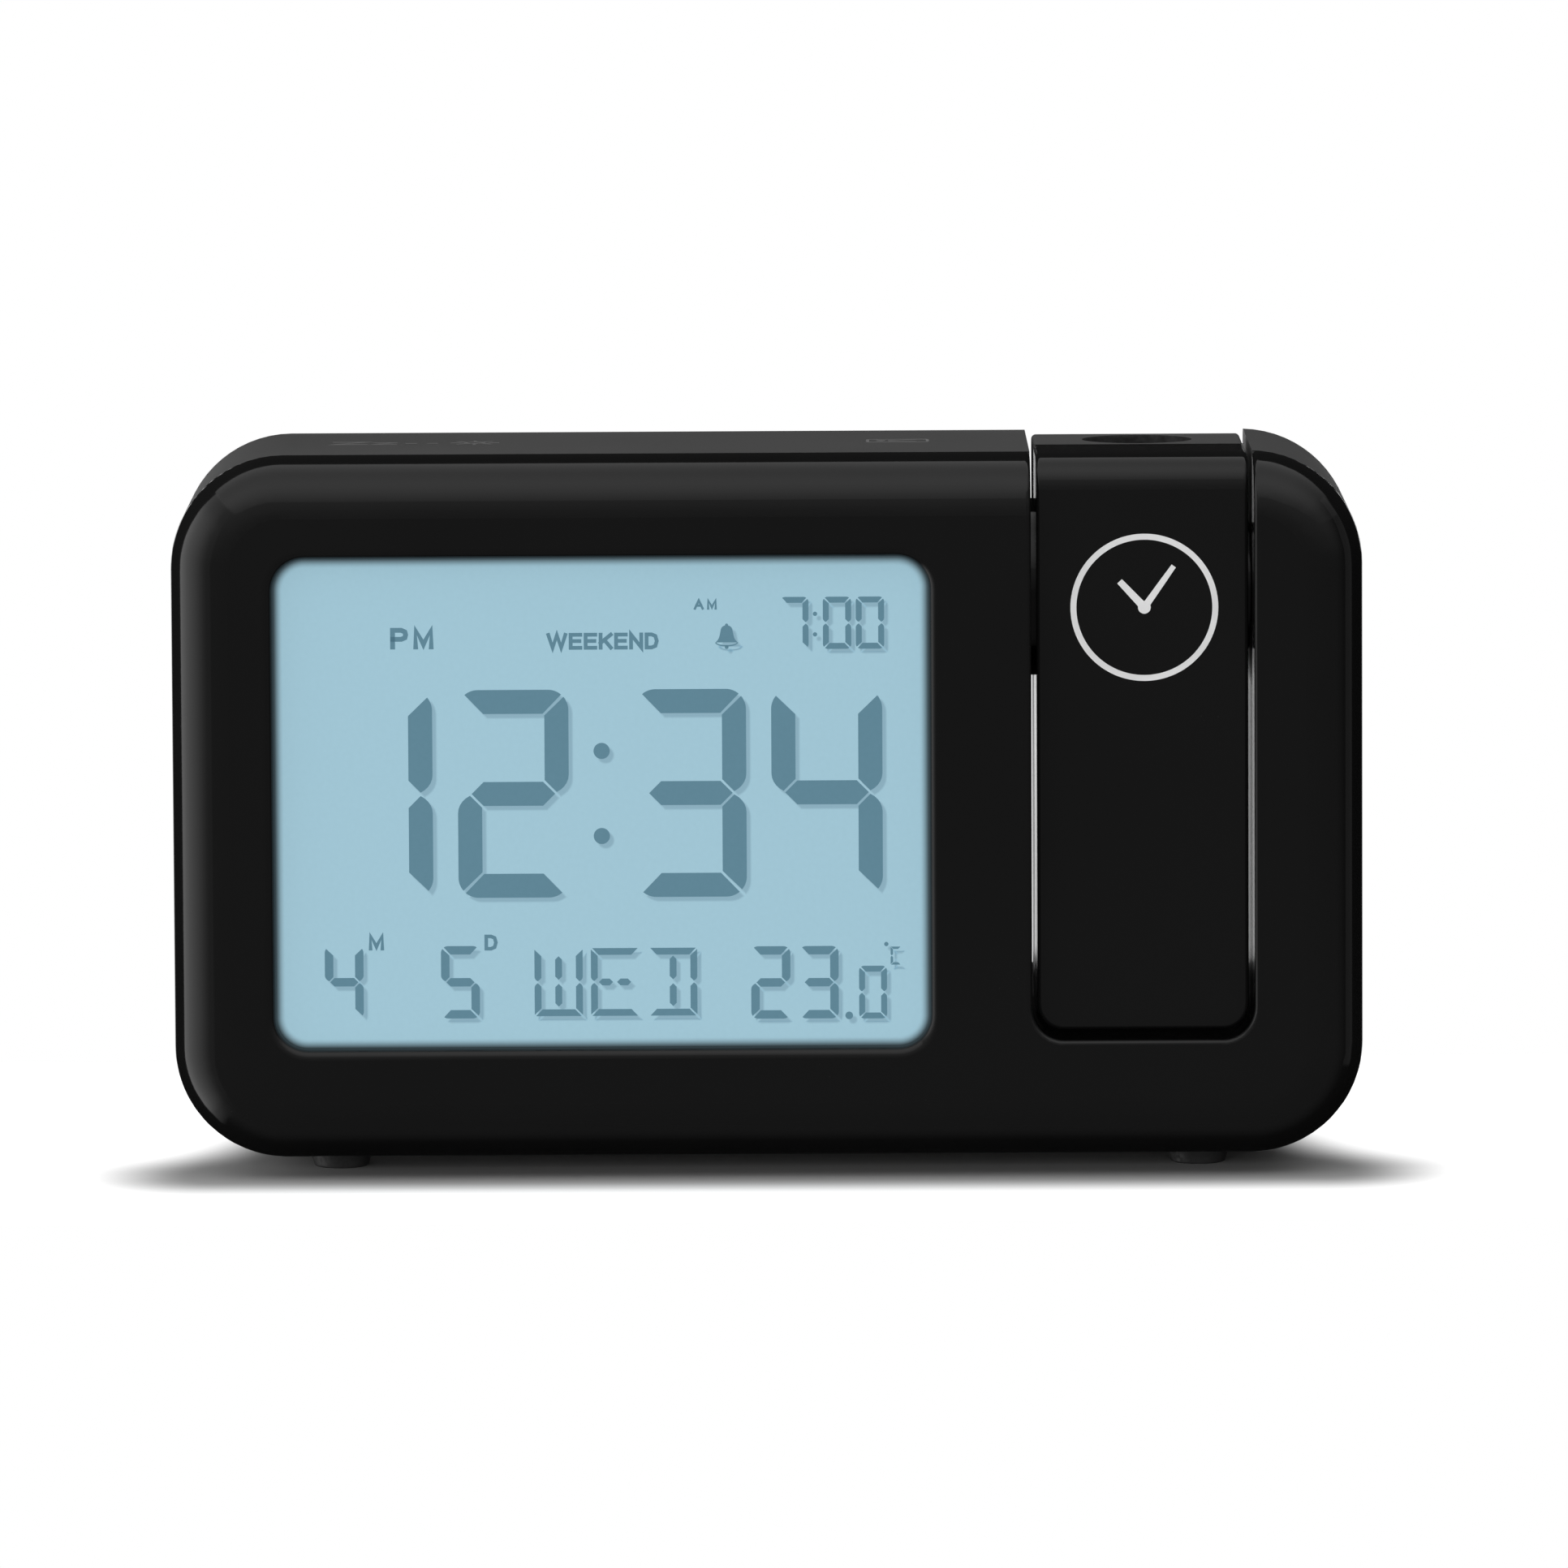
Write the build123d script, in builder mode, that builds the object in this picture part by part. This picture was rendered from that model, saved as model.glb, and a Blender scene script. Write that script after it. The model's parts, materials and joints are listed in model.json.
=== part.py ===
"""Projection alarm clock: a flat-fronted body with a liquid crystal display, and an arm that swings
in a slot beside it and throws the time onto a wall or ceiling through a focusing lens.

Millimetres. +X is to the right as the reader faces the display, +Y runs from the front to the back
and +Z is up. The origin is on the table, below the middle of the body.
"""

from build123d import *
import math
import os

os.makedirs("parts", exist_ok=True)

# ---------------------------------------------------------------- driving dimensions
# Body
body_width = 150.0
body_height = 88.8
body_depth = 44.0
front_shell_depth = 8.0
outline_radius = 14.2
front_round = 7.4
rear_round = 1.6
wall = 2.0
foot_height = 2.4
foot_radius = 4.2
foot_tip_radius = 3.4
foot_side_inset = 20.6
front_foot_depth = 16.5
rear_foot_depth = 36.5

# Display
window_side_border = 13.05
window_slot_border = 12.9
window_low_border = 14.4
window_high_border = 12.6
window_radius = 4.0
window_rim_round = 1.35
glass_thickness = 1.1
glass_margin = 2.3
glass_ledge = 3.2
guide_thickness = 3.0

# Arm, its slot and its pivot
slot_width = 28.0
slot_side_distance = 27.85
slot_floor_rise = 12.3
slot_corner_radius = 4.0
slot_edge_round = 0.6
arm_side_gap = 0.7
arm_end_gap = 1.6
arm_front_depth = 2.0
arm_rear_depth = 36.2
arm_wall = 1.8
arm_top_round = 4.4
arm_rear_round = 1.2
arm_corner_radius = 3.2
arm_edge_round = 0.6
least_round = 0.3
pivot_depth = 18.6
pivot_drop = 18.0
left_hub_radius = 7.0
left_hub_bore_radius = 4.6
left_pad_radius = 11.2
right_hub_radius = 5.0
right_pad_radius = 8.0
pad_thickness = 0.6
hub_flange_extra = 2.5
hub_flange_thickness = 1.2
washer_thickness = 0.4
clip_thickness = 0.8
clip_width = 1.8

# Projector inside the arm
lens_depth = 27.4
port_radius = 6.9
port_depth = 2.4
barrel_radius = 6.0
barrel_wall = 1.2
barrel_length = 19.0
barrel_top_drop = 5.2
lens_height = 3.0
wheel_radius = 9.9
wheel_height = 4.0
wheel_drop = 14.2
wheel_teeth = 40
optics_width = 18.0
optics_depth = 15.0
optics_share = 0.62

# Rear of the body
screw_radius = 1.3
screw_head_radius = 2.4
screw_head_height = 1.6
screw_length = 10.0
post_radius = 3.0
ear_post_radius = 2.4
small_screw_radius = 0.95
small_head_radius = 1.9
small_head_height = 1.2
small_screw_length = 4.0
corner_screw_rise = 15.6
corner_screw_drop = 14.7
inner_screw_rise = 9.6
inner_screw_shift = 2.0
pod_screw_rises = (19.6, 47.6)
recess_end_room = 8.0
recess_height = 13.0
recess_corner = 6.0
recess_depth = 1.0
controls_drop = 27.2
button_height = 5.0
button_corner = 2.4
button_space = 4.0
button_travel = 0.5
button_flange = 1.0
button_names = ["mode_button", "time_button", "alarm_button", "up_button", "down_button"]
first_button_inset = 23.0
switch_slot_distance = 13.55
switch_room = 20.0
switch_travel = 3.0
cell_radius = 5.25
cell_length = 44.5
well_length = 52.0
well_height = 23.6
well_depth = 12.8
well_side_distance = 41.0
well_rise = 21.6
door_margin = 2.2
door_thickness = 1.6
socket_slot_distance = 16.55
socket_rise = 17.6
socket_bore_radius = 2.9
socket_pin_radius = 1.05
socket_bore_length = 9.0
socket_rim = 0.6
buzzer_radius = 8.0
buzzer_thickness = 4.5
buzzer_slot_distance = 14.5
buzzer_clearance = 0.8
sound_hole_radius = 0.8
sound_hole_ring = 4.0
sound_hole_count = 6

# Boards
board_thickness = 1.6

# ---------------------------------------------------------------- clearances
running_gap = 0.05
loose_gap = 0.15
button_gap = 0.25
door_gap = 0.2
glass_gap = 0.15
screw_gap = 0.05
stack_gap = 0.1

# ---------------------------------------------------------------- derived places
front_y = -body_depth / 2
rear_y = body_depth / 2
parting_y = front_y + front_shell_depth
base_z = foot_height
top_z = base_z + body_height
mid_z = base_z + body_height / 2
front_inner_y = front_y + wall
rear_inner_y = rear_y - wall
pivot_y = front_y + pivot_depth
pivot_z = top_z - pivot_drop
slot_x = body_width / 2 - slot_side_distance
slot_floor_radius = pivot_z - base_z - slot_floor_rise
slot_left = slot_x - slot_width / 2
slot_right = slot_x + slot_width / 2
arm_width = slot_width - 2 * arm_side_gap
arm_left = slot_x - arm_width / 2
arm_right = slot_x + arm_width / 2
arm_front_y = front_y + arm_front_depth
arm_rear_y = front_y + arm_rear_depth
arm_end_radius = slot_floor_radius - arm_end_gap
lens_y = front_y + lens_depth
window_left = -body_width / 2 + window_side_border
window_right = slot_left - window_slot_border
window_low = base_z + window_low_border
window_high = top_z - window_high_border
window_width = window_right - window_left
window_height = window_high - window_low
window_x = (window_left + window_right) / 2
window_z = (window_low + window_high) / 2
wheel_z = top_z - wheel_drop
optics_base_z = pivot_z - optics_share * arm_end_radius
controls_z = top_z - controls_drop
first_button_x = -body_width / 2 + first_button_inset
switch_x = slot_left - switch_slot_distance
button_spacing = (switch_x - first_button_x - switch_room) / (len(button_names) - 1)
button_width = button_spacing - button_space
recess_width = switch_x - first_button_x + 2 * recess_end_room
well_x = -body_width / 2 + well_side_distance
well_z = base_z + well_rise
socket_x = slot_left - socket_slot_distance
socket_z = base_z + socket_rise
buzzer_x = slot_left - buzzer_slot_distance
buzzer_z = controls_z - recess_height / 2 - wall - buzzer_radius - buzzer_clearance


# ---------------------------------------------------------------- shared shapes
def facing_front(y):
    """A plane across the object at y, drawn as seen from the front."""
    return Plane(origin=(0, y, 0), x_dir=(1, 0, 0), z_dir=(0, -1, 0))


def block(low, high, mode=Mode.ADD):
    """A box from its lowest to its highest corner, in the part under way."""
    middle = tuple((a + b) / 2 for a, b in zip(low, high))
    size = [b - a for a, b in zip(low, high)]
    with Locations(middle):
        Box(*size, mode=mode)


def rod_x(x_from, x_to, radius, y, z, mode=Mode.ADD):
    """A round bar or bore along X."""
    with Locations(((x_from + x_to) / 2, y, z)):
        Cylinder(radius, x_to - x_from, rotation=(0, 90, 0), mode=mode)


def rod_y(y_from, y_to, radius, x, z, mode=Mode.ADD):
    """A round bar or bore along Y."""
    with Locations((x, (y_from + y_to) / 2, z)):
        Cylinder(radius, y_to - y_from, rotation=(90, 0, 0), mode=mode)


def rod_z(z_from, z_to, radius, x, y, mode=Mode.ADD):
    """A round bar or bore along Z."""
    with Locations((x, y, (z_from + z_to) / 2)):
        Cylinder(radius, z_to - z_from, mode=mode)


def body_block(y_front, y_back, inset):
    """The body's rounded outline, inset all round, between two planes."""
    with BuildPart() as made:
        with BuildSketch(facing_front(y_back)):
            with Locations((0, mid_z)):
                RectangleRounded(
                    body_width - 2 * inset, body_height - 2 * inset, outline_radius - inset
                )
        extrude(amount=y_back - y_front)
    return made.part


def slot_block(grow):
    """The arm's slot, grown all round: open at the top, its floor an arc about the pivot."""
    floor_radius = slot_floor_radius + grow
    reach = body_depth + 4 * wall
    rise = top_z + 2 * wall - pivot_z
    drop = floor_radius + wall
    with BuildPart() as made:
        with BuildSketch(Plane.YZ.offset(slot_left - grow)):
            with Locations((pivot_y, pivot_z)):
                Circle(floor_radius)
            with Locations((0, pivot_z - drop / 2)):
                Rectangle(reach, drop, mode=Mode.INTERSECT)
            with Locations((0, pivot_z + rise / 2)):
                Rectangle(reach, rise)
        extrude(amount=slot_width + 2 * grow)
        fillet(made.edges().filter_by(GeomType.CIRCLE), slot_corner_radius + grow)
    return made.part


def arm_block(inset):
    """The arm's outer form, inset all round: a bar whose lower end is an arc about the pivot."""
    end_radius = arm_end_radius - inset
    low_y = arm_front_y + inset
    high_y = arm_rear_y - inset
    depth = high_y - low_y
    top = top_z - inset
    drop = end_radius + wall
    with BuildPart() as made:
        with BuildSketch(Plane.YZ.offset(arm_left + inset)) as side:
            with Locations((pivot_y, pivot_z)):
                Circle(end_radius)
            with Locations(((low_y + high_y) / 2, pivot_z - drop / 2)):
                Rectangle(depth, drop, mode=Mode.INTERSECT)
            with Locations(((low_y + high_y) / 2, (pivot_z + top) / 2)):
                Rectangle(depth, top - pivot_z)
            upper = side.vertices().group_by(Axis.Y)[-1].sort_by(Axis.X)
            fillet(upper[0], max(arm_top_round - inset, least_round))
            upper = side.vertices().group_by(Axis.Y)[-1].sort_by(Axis.X)
            fillet(upper[-1], max(arm_rear_round - inset, least_round))
        extrude(amount=arm_width - 2 * inset)
        ends = made.edges().filter_by(GeomType.CIRCLE).group_by(Axis.Z)[0]
        fillet(ends, max(arm_corner_radius - inset, least_round))
    return made.part


def save(made, name):
    """Label a finished piece and write it to its own file."""
    made.part.label = name
    export_step(made.part, f"parts/{name}.step")


# Screws that hold the two halves of the body: inside the corners, beside the slot and in the pod
post_edge_gap = 0.6
left_post_x = -body_width / 2 + wall + post_radius + post_edge_gap
pod_post_x = (slot_right + body_width / 2) / 2
inner_post_x = slot_left - wall - post_radius - post_edge_gap
post_overlap = 0.4
upper_post_z = top_z - wall - post_radius + post_overlap
shell_screw_places = [
    (left_post_x, base_z + corner_screw_rise),
    (left_post_x, top_z - corner_screw_drop),
    (inner_post_x, base_z + inner_screw_rise),
    (inner_post_x - inner_screw_shift, upper_post_z),
    (pod_post_x, base_z + pod_screw_rises[0]),
    (pod_post_x, base_z + pod_screw_rises[1]),
]
screw_seat_height = 5.0
shell_post_y = parting_y + screw_seat_height

# ================================================================ body: front shell
outer_front = body_block(front_y, parting_y, 0)
inner_front = body_block(front_inner_y, parting_y, wall)
slot_space = slot_block(0)
slot_wall_space = slot_block(wall)

ear_spacing = 24.0
ear_depth = 6.5
holder_ear_y = front_y + ear_depth
holder_ear_places = [
    (x, mid_z + side * ear_spacing / 2) for x in (left_post_x, inner_post_x) for side in (-1, 1)
]

with BuildPart() as front_cavity:
    add(inner_front)
    inner_rim = front_cavity.faces().sort_by(Axis.Y)[0].edges()
    fillet(inner_rim, front_round - wall)
    add(slot_wall_space, mode=Mode.SUBTRACT)
    for x, z in shell_screw_places:
        rod_y(front_y, parting_y, post_radius, x, z, mode=Mode.SUBTRACT)
    for x, z in holder_ear_places:
        rod_y(front_y, holder_ear_y, ear_post_radius, x, z, mode=Mode.SUBTRACT)

with BuildPart() as front_shell:
    add(outer_front)
    outer_rim = front_shell.faces().sort_by(Axis.Y)[0].edges()
    fillet(outer_rim, front_round)
    add(slot_space, mode=Mode.SUBTRACT)
    slot_rim = (
        front_shell.faces()
        .sort_by(Axis.Y)[0]
        .edges()
        .filter_by_position(Axis.X, slot_left - loose_gap, slot_right + loose_gap)
    )
    fillet(slot_rim, slot_edge_round)
    add(front_cavity.part, mode=Mode.SUBTRACT)
    with BuildSketch(facing_front(front_inner_y)):
        with Locations((window_x, window_z)):
            RectangleRounded(window_width, window_height, window_radius)
    extrude(amount=wall, mode=Mode.SUBTRACT)
    window_rim = (
        front_shell.faces()
        .sort_by(Axis.Y)[0]
        .inner_wires()[0]
        .edges()
    )
    fillet(window_rim, window_rim_round)
    for x, z in shell_screw_places:
        rod_y(front_inner_y + wall / 2, parting_y, screw_radius + screw_gap, x, z, mode=Mode.SUBTRACT)
    for x, z in holder_ear_places:
        rod_y(front_inner_y + wall / 2, holder_ear_y, small_screw_radius + screw_gap, x, z,
              mode=Mode.SUBTRACT)

# ================================================================ body: rear shell
outer_rear = body_block(parting_y, rear_y, 0)
inner_rear = body_block(parting_y, rear_inner_y, wall)

well_left = well_x - well_length / 2
well_right = well_x + well_length / 2
well_low = well_z - well_height / 2
well_high = well_z + well_height / 2
well_front_y = rear_y - door_thickness - well_depth
well_wall = 1.4
door_left = well_left - door_margin
door_right = well_right + door_margin
door_low = well_low - door_margin
door_high = well_high + door_margin
door_seat_y = rear_y - door_thickness
hook_width = 6.0
hook_thickness = 1.0
hook_reach = 1.6
hook_space = 2.6
hook_places = [well_x - well_length / 3, well_x + well_length / 3]

recess_x = (first_button_x + switch_x) / 2
button_places = [first_button_x + i * button_spacing for i in range(len(button_names))]
control_inner_y = rear_inner_y - recess_depth
switch_slot_length = 9.0
switch_slot_height = 4.4

button_board_half = 7.0
button_board_depth = 11.8
button_board_margin = 2.5
button_board_low = controls_z - button_board_half
button_board_high = controls_z + button_board_half
button_board_y = rear_y - button_board_depth
button_post_radius = 2.0
button_post_rise = 4.8
button_post_gap = 0.6
button_reach = button_width / 2 + button_flange + button_post_radius
left_button_post_x = first_button_x - button_reach - button_post_gap
right_button_post_x = button_places[-1] + button_reach + button_board_margin
button_board_left = left_button_post_x - button_board_margin
button_board_right = switch_x + switch_slot_length / 2 + switch_travel
button_post_places = [
    (x, controls_z + side * button_post_rise)
    for x in (left_button_post_x, right_button_post_x)
    for side in (-1, 1)
]

foot_stud_radius = 2.0
foot_stud_height = 1.2
foot_places = [
    (side * (body_width / 2 - foot_side_inset), front_y + depth)
    for depth in (front_foot_depth, rear_foot_depth)
    for side in (-1, 1)
]

with BuildPart() as rear_cavity:
    add(inner_rear)
    add(slot_wall_space, mode=Mode.SUBTRACT)

with BuildPart() as rear_shell:
    add(outer_rear)
    rear_rim = rear_shell.faces().sort_by(Axis.Y)[-1].edges()
    fillet(rear_rim, rear_round)
    add(slot_space, mode=Mode.SUBTRACT)
    add(rear_cavity.part, mode=Mode.SUBTRACT)

    # Bores for the arm's hubs, one through each wall of the slot
    rod_x(slot_left - 1.5 * wall, slot_left + wall / 2, left_hub_radius + running_gap,
          pivot_y, pivot_z, mode=Mode.SUBTRACT)
    rod_x(slot_right - wall / 2, slot_right + 1.5 * wall, right_hub_radius + running_gap,
          pivot_y, pivot_z, mode=Mode.SUBTRACT)

    # Posts for the shell screws, drilled through and counterbored from the back
    for x, z in shell_screw_places:
        rod_y(parting_y, rear_inner_y + wall / 4, post_radius, x, z)
    for x, z in shell_screw_places:
        rod_y(shell_post_y, rear_y, screw_head_radius + loose_gap, x, z, mode=Mode.SUBTRACT)
        rod_y(parting_y, rear_y, screw_radius + screw_gap, x, z, mode=Mode.SUBTRACT)

    # Battery well, with the seat of its door and the slots for the door's hooks
    block((well_left - well_wall, well_front_y - well_wall, well_low - well_wall),
          (well_right + well_wall, rear_inner_y + wall / 4, well_high + well_wall))
    block((door_left - well_wall, door_seat_y - hook_space - well_wall, door_low - hook_reach - well_wall),
          (door_right + well_wall, rear_inner_y + wall / 4, door_high + well_wall))
    block((well_left, well_front_y, well_low), (well_right, rear_y, well_high), mode=Mode.SUBTRACT)
    block((door_left, door_seat_y, door_low), (door_right, rear_y, door_high), mode=Mode.SUBTRACT)
    for x in hook_places:
        block((x - hook_width / 2 - door_gap, door_seat_y - hook_space, door_low - hook_reach - door_gap),
              (x + hook_width / 2 + door_gap, door_seat_y, well_low), mode=Mode.SUBTRACT)

    # Recessed panel for the buttons and the switch
    panel_half_x = recess_width / 2 + wall
    panel_half_z = recess_height / 2 + wall
    block((recess_x - panel_half_x, control_inner_y, controls_z - panel_half_z),
          (recess_x + panel_half_x, rear_inner_y + wall / 4, controls_z + panel_half_z))
    with BuildSketch(facing_front(rear_y)):
        with Locations((recess_x, controls_z)):
            RectangleRounded(recess_width, recess_height, recess_corner)
    extrude(amount=recess_depth, mode=Mode.SUBTRACT)
    with BuildSketch(facing_front(rear_y)):
        with Locations([(x, controls_z) for x in button_places]):
            RectangleRounded(button_width + 2 * button_gap, button_height + 2 * button_gap,
                             button_corner + button_gap)
        with Locations((switch_x, controls_z)):
            Rectangle(switch_slot_length, switch_slot_height)
    extrude(amount=body_depth / 4, mode=Mode.SUBTRACT)
    for x, z in button_post_places:
        rod_y(button_board_y, control_inner_y + recess_depth / 2, button_post_radius, x, z)
        rod_y(button_board_y, control_inner_y - recess_depth, small_screw_radius + screw_gap, x, z,
              mode=Mode.SUBTRACT)

    # Power socket opening and the sound holes over the buzzer
    rod_y(rear_inner_y, rear_y, socket_bore_radius + socket_rim, socket_x, socket_z, mode=Mode.SUBTRACT)
    with BuildSketch(facing_front(rear_y)):
        with Locations((buzzer_x, buzzer_z)):
            Circle(sound_hole_radius)
            with PolarLocations(sound_hole_ring, sound_hole_count):
                Circle(sound_hole_radius)
    extrude(amount=wall, mode=Mode.SUBTRACT)

    # Sockets for the feet
    for x, y in foot_places:
        rod_z(base_z, base_z + foot_stud_height + loose_gap, foot_stud_radius + running_gap, x, y,
              mode=Mode.SUBTRACT)


save(front_shell, "front_shell")
save(rear_shell, "rear_shell")

# ================================================================ body: battery door and cells
door_edge_round = 0.3
grip_rows = 3
grip_length = 12.0
grip_step = 3.0
grip_pitch = 1.6
grip_width = 0.7
grip_depth = 0.5
grip_drop = 4.0
with BuildPart() as battery_door:
    block((door_left + door_gap, door_seat_y + running_gap, door_low + door_gap),
          (door_right - door_gap, rear_y, door_high - door_gap))
    outer_edges = battery_door.faces().sort_by(Axis.Y)[-1].edges()
    fillet(outer_edges, door_edge_round)
    for x in hook_places:
        block((x - hook_width / 2, door_seat_y - hook_thickness - running_gap, door_low - hook_reach),
              (x + hook_width / 2, door_seat_y - running_gap, well_low - door_gap))
        block((x - hook_width / 2, door_seat_y - 2 * running_gap, door_low + door_gap),
              (x + hook_width / 2, door_seat_y + 2 * running_gap, well_low - door_gap))
    with BuildSketch(facing_front(rear_y)):
        for row in range(grip_rows):
            with Locations((well_x, door_high - grip_drop - grip_pitch * row)):
                Rectangle(grip_length - grip_step * row, grip_width)
    extrude(amount=grip_depth, mode=Mode.SUBTRACT)
save(battery_door, "battery_door")

cell_y = well_front_y + cell_radius + loose_gap
cell_spacing = 0.7
cell_edge_round = 0.5
cell_pitch = 2 * cell_radius + cell_spacing
contact_thickness = 0.5
contact_half_y = 4.0
contact_half_z = 4.5
nub_radius = 1.9
nub_length = 1.0
spring_radius = 2.8
spring_wire_radius = 0.35
spring_turns = 3.5
spring_seat = 0.2
for name, side in (("lower_cell", -1), ("upper_cell", 1)):
    nub_tip = well_left + contact_thickness if side < 0 else well_right - contact_thickness
    shoulder = nub_tip - side * nub_length
    tail = shoulder - side * (cell_length - nub_length)
    cell_z = well_z + side * cell_pitch / 2
    with BuildPart() as cell:
        rod_x(min(shoulder, tail), max(shoulder, tail), cell_radius, cell_y, cell_z)
        rod_x(min(nub_tip, shoulder), max(nub_tip, shoulder), nub_radius, cell_y, cell_z)
        fillet(cell.edges().filter_by(GeomType.CIRCLE).group_by(SortBy.RADIUS)[-1], cell_edge_round)
    save(cell, name)

spring_length = well_length - 2 * contact_thickness - cell_length
spring_height = spring_length - spring_seat - spring_wire_radius - running_gap
with BuildPart() as battery_contacts:
    for side in (-1, 1):
        cell_z = well_z + side * cell_pitch / 2
        for x in (well_left, well_right - contact_thickness):
            block((x, cell_y - contact_half_y, cell_z - contact_half_z),
                  (x + contact_thickness, cell_y + contact_half_y, cell_z + contact_half_z))
        base_x = well_right - contact_thickness - spring_seat
        if side > 0:
            base_x = well_left + contact_thickness + spring_seat
        with BuildLine() as coil:
            Helix(
                spring_height / spring_turns, spring_height, spring_radius,
                center=(base_x, cell_y, cell_z), direction=(side, 0, 0),
            )
        with BuildSketch(Plane(origin=coil.line @ 0, z_dir=coil.line % 0)):
            Circle(spring_wire_radius)
        sweep(path=coil.line, is_frenet=True)
save(battery_contacts, "battery_contacts")

# ================================================================ body: display
glass_width = window_width + 2 * glass_margin
glass_height = window_height + 2 * glass_margin
glass_left = window_x - glass_width / 2
glass_right = window_x + glass_width / 2
glass_low = window_z - glass_height / 2
glass_high = window_z + glass_height / 2
rear_glass_y = front_inner_y + glass_thickness
guide_y = rear_glass_y + glass_thickness + stack_gap
guide_back_y = guide_y + guide_thickness
tray_floor = 1.0
tray_wall = 1.2
tray_back_y = guide_back_y + stack_gap + tray_floor
strip_height = 2.0
strip_rise = 0.8
strip_inset = 2.0
strip_low = glass_low - glass_ledge + strip_rise
strip_left = window_x - window_width / 2 + strip_inset
strip_right = window_x + window_width / 2 - strip_inset
peg_height = 1.2
board_front_y = tray_back_y + peg_height
board_back_y = board_front_y + board_thickness
peg_radius = 2.2
peg_inset_x = 8.0
peg_inset_z = 4.0
peg_places = [
    (x, z)
    for x in (glass_left + peg_inset_x, glass_right - peg_inset_x)
    for z in (glass_low + peg_inset_z, glass_high - peg_inset_z)
]

with BuildPart() as lcd_front_glass:
    block((glass_left, front_inner_y, glass_low), (glass_right, rear_glass_y, glass_high))
save(lcd_front_glass, "lcd_front_glass")

with BuildPart() as lcd_rear_glass:
    block((glass_left, rear_glass_y, glass_low - glass_ledge),
          (glass_right, rear_glass_y + glass_thickness, glass_high))
save(lcd_rear_glass, "lcd_rear_glass")

led_thickness = 1.2
led_half_length = 1.8
led_inset = 0.3
guide_corner = 0.8
light_board_thickness = 1.0
light_board_inset = 4.0
guide_right = glass_right - led_thickness - light_board_thickness - 2 * loose_gap
light_places = [window_z - window_height / 3, window_z, window_z + window_height / 3]
with BuildPart() as light_guide:
    block((glass_left, guide_y, glass_low), (guide_right, guide_back_y, glass_high))
    fillet(light_guide.edges().filter_by(Axis.Y), guide_corner)
save(light_guide, "light_guide")

with BuildPart() as backlight_leds:
    for z in light_places:
        block((guide_right + loose_gap, guide_y + led_inset, z - led_half_length),
              (guide_right + loose_gap + led_thickness, guide_back_y - led_inset, z + led_half_length))
save(backlight_leds, "backlight_leds")

with BuildPart() as backlight_board:
    board_x = guide_right + loose_gap + led_thickness
    block((board_x, guide_y, glass_low + light_board_inset),
          (board_x + light_board_thickness, guide_back_y, glass_high - light_board_inset))
save(backlight_board, "backlight_board")

ear_half = 2.4
ear_overhang = 2.2
tray_left = glass_left - glass_gap
tray_right = glass_right + glass_gap
tray_low = glass_low - glass_ledge - glass_gap
tray_high = glass_high + glass_gap
with BuildPart() as display_tray:
    block((tray_left - tray_wall, front_inner_y + stack_gap, tray_low - tray_wall),
          (tray_right + tray_wall, tray_back_y, tray_high + tray_wall))
    for x, z in holder_ear_places:
        if x < window_x:
            ear_from, ear_to = x - ear_overhang, tray_left
        else:
            ear_from, ear_to = tray_right, x + ear_overhang
        block((ear_from, holder_ear_y, z - ear_half), (ear_to, tray_back_y, z + ear_half))
        rod_y(holder_ear_y, tray_back_y, small_screw_radius + screw_gap, x, z, mode=Mode.SUBTRACT)
    block((tray_left, front_inner_y, tray_low), (tray_right, tray_back_y - tray_floor, tray_high),
          mode=Mode.SUBTRACT)
    block((strip_left - glass_gap, guide_back_y, strip_low - glass_gap),
          (strip_right + glass_gap, tray_back_y, strip_low + strip_height + glass_gap), mode=Mode.SUBTRACT)
    for x, z in peg_places:
        rod_y(tray_back_y - tray_floor / 2, board_front_y, peg_radius, x, z)
        rod_y(tray_back_y - tray_floor + stack_gap, board_front_y, small_screw_radius + screw_gap, x, z,
              mode=Mode.SUBTRACT)
save(display_tray, "display_tray")

with BuildPart() as contact_strip:
    block((strip_left, rear_glass_y + glass_thickness, strip_low),
          (strip_right, board_front_y, strip_low + strip_height))
save(contact_strip, "contact_strip")

# ================================================================ body: main board
main_board_low = glass_low - glass_ledge
main_board_high = glass_high
board_inset = 3.0
board_corner = 1.0
main_board_left = glass_left + board_inset
main_board_right = glass_right - board_inset
with BuildPart() as main_board:
    block((main_board_left, board_front_y, main_board_low), (main_board_right, board_back_y, main_board_high))
    fillet(main_board.edges().filter_by(Axis.Y), board_corner)
    for x, z in peg_places:
        rod_y(board_front_y, board_back_y, small_screw_radius + screw_gap, x, z, mode=Mode.SUBTRACT)
save(main_board, "main_board")

chip_radius = 6.0
chip_height = 1.5
chip_round = 1.2
with BuildPart() as main_chip:
    rod_y(board_back_y, board_back_y + chip_height, chip_radius, window_x, window_z)
    fillet(main_chip.faces().sort_by(Axis.Y)[-1].edges(), chip_round)
save(main_chip, "main_chip")

crystal_radius = 1.0
crystal_length = 6.0
crystal_x = window_x + 14.0
crystal_z = window_z + 8.0
with BuildPart() as clock_crystal:
    rod_x(crystal_x, crystal_x + crystal_length, crystal_radius, board_back_y + crystal_radius, crystal_z)
save(clock_crystal, "clock_crystal")

sensor_radius = 1.3
sensor_height = 2.4
sensor_round = 0.8
sensor_x = main_board_right - 14.0
sensor_z = main_board_low + 5.0
with BuildPart() as temperature_sensor:
    rod_y(board_back_y, board_back_y + sensor_height, sensor_radius, sensor_x, sensor_z)
    fillet(temperature_sensor.faces().sort_by(Axis.Y)[-1].edges(), sensor_round)
save(temperature_sensor, "temperature_sensor")

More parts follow.
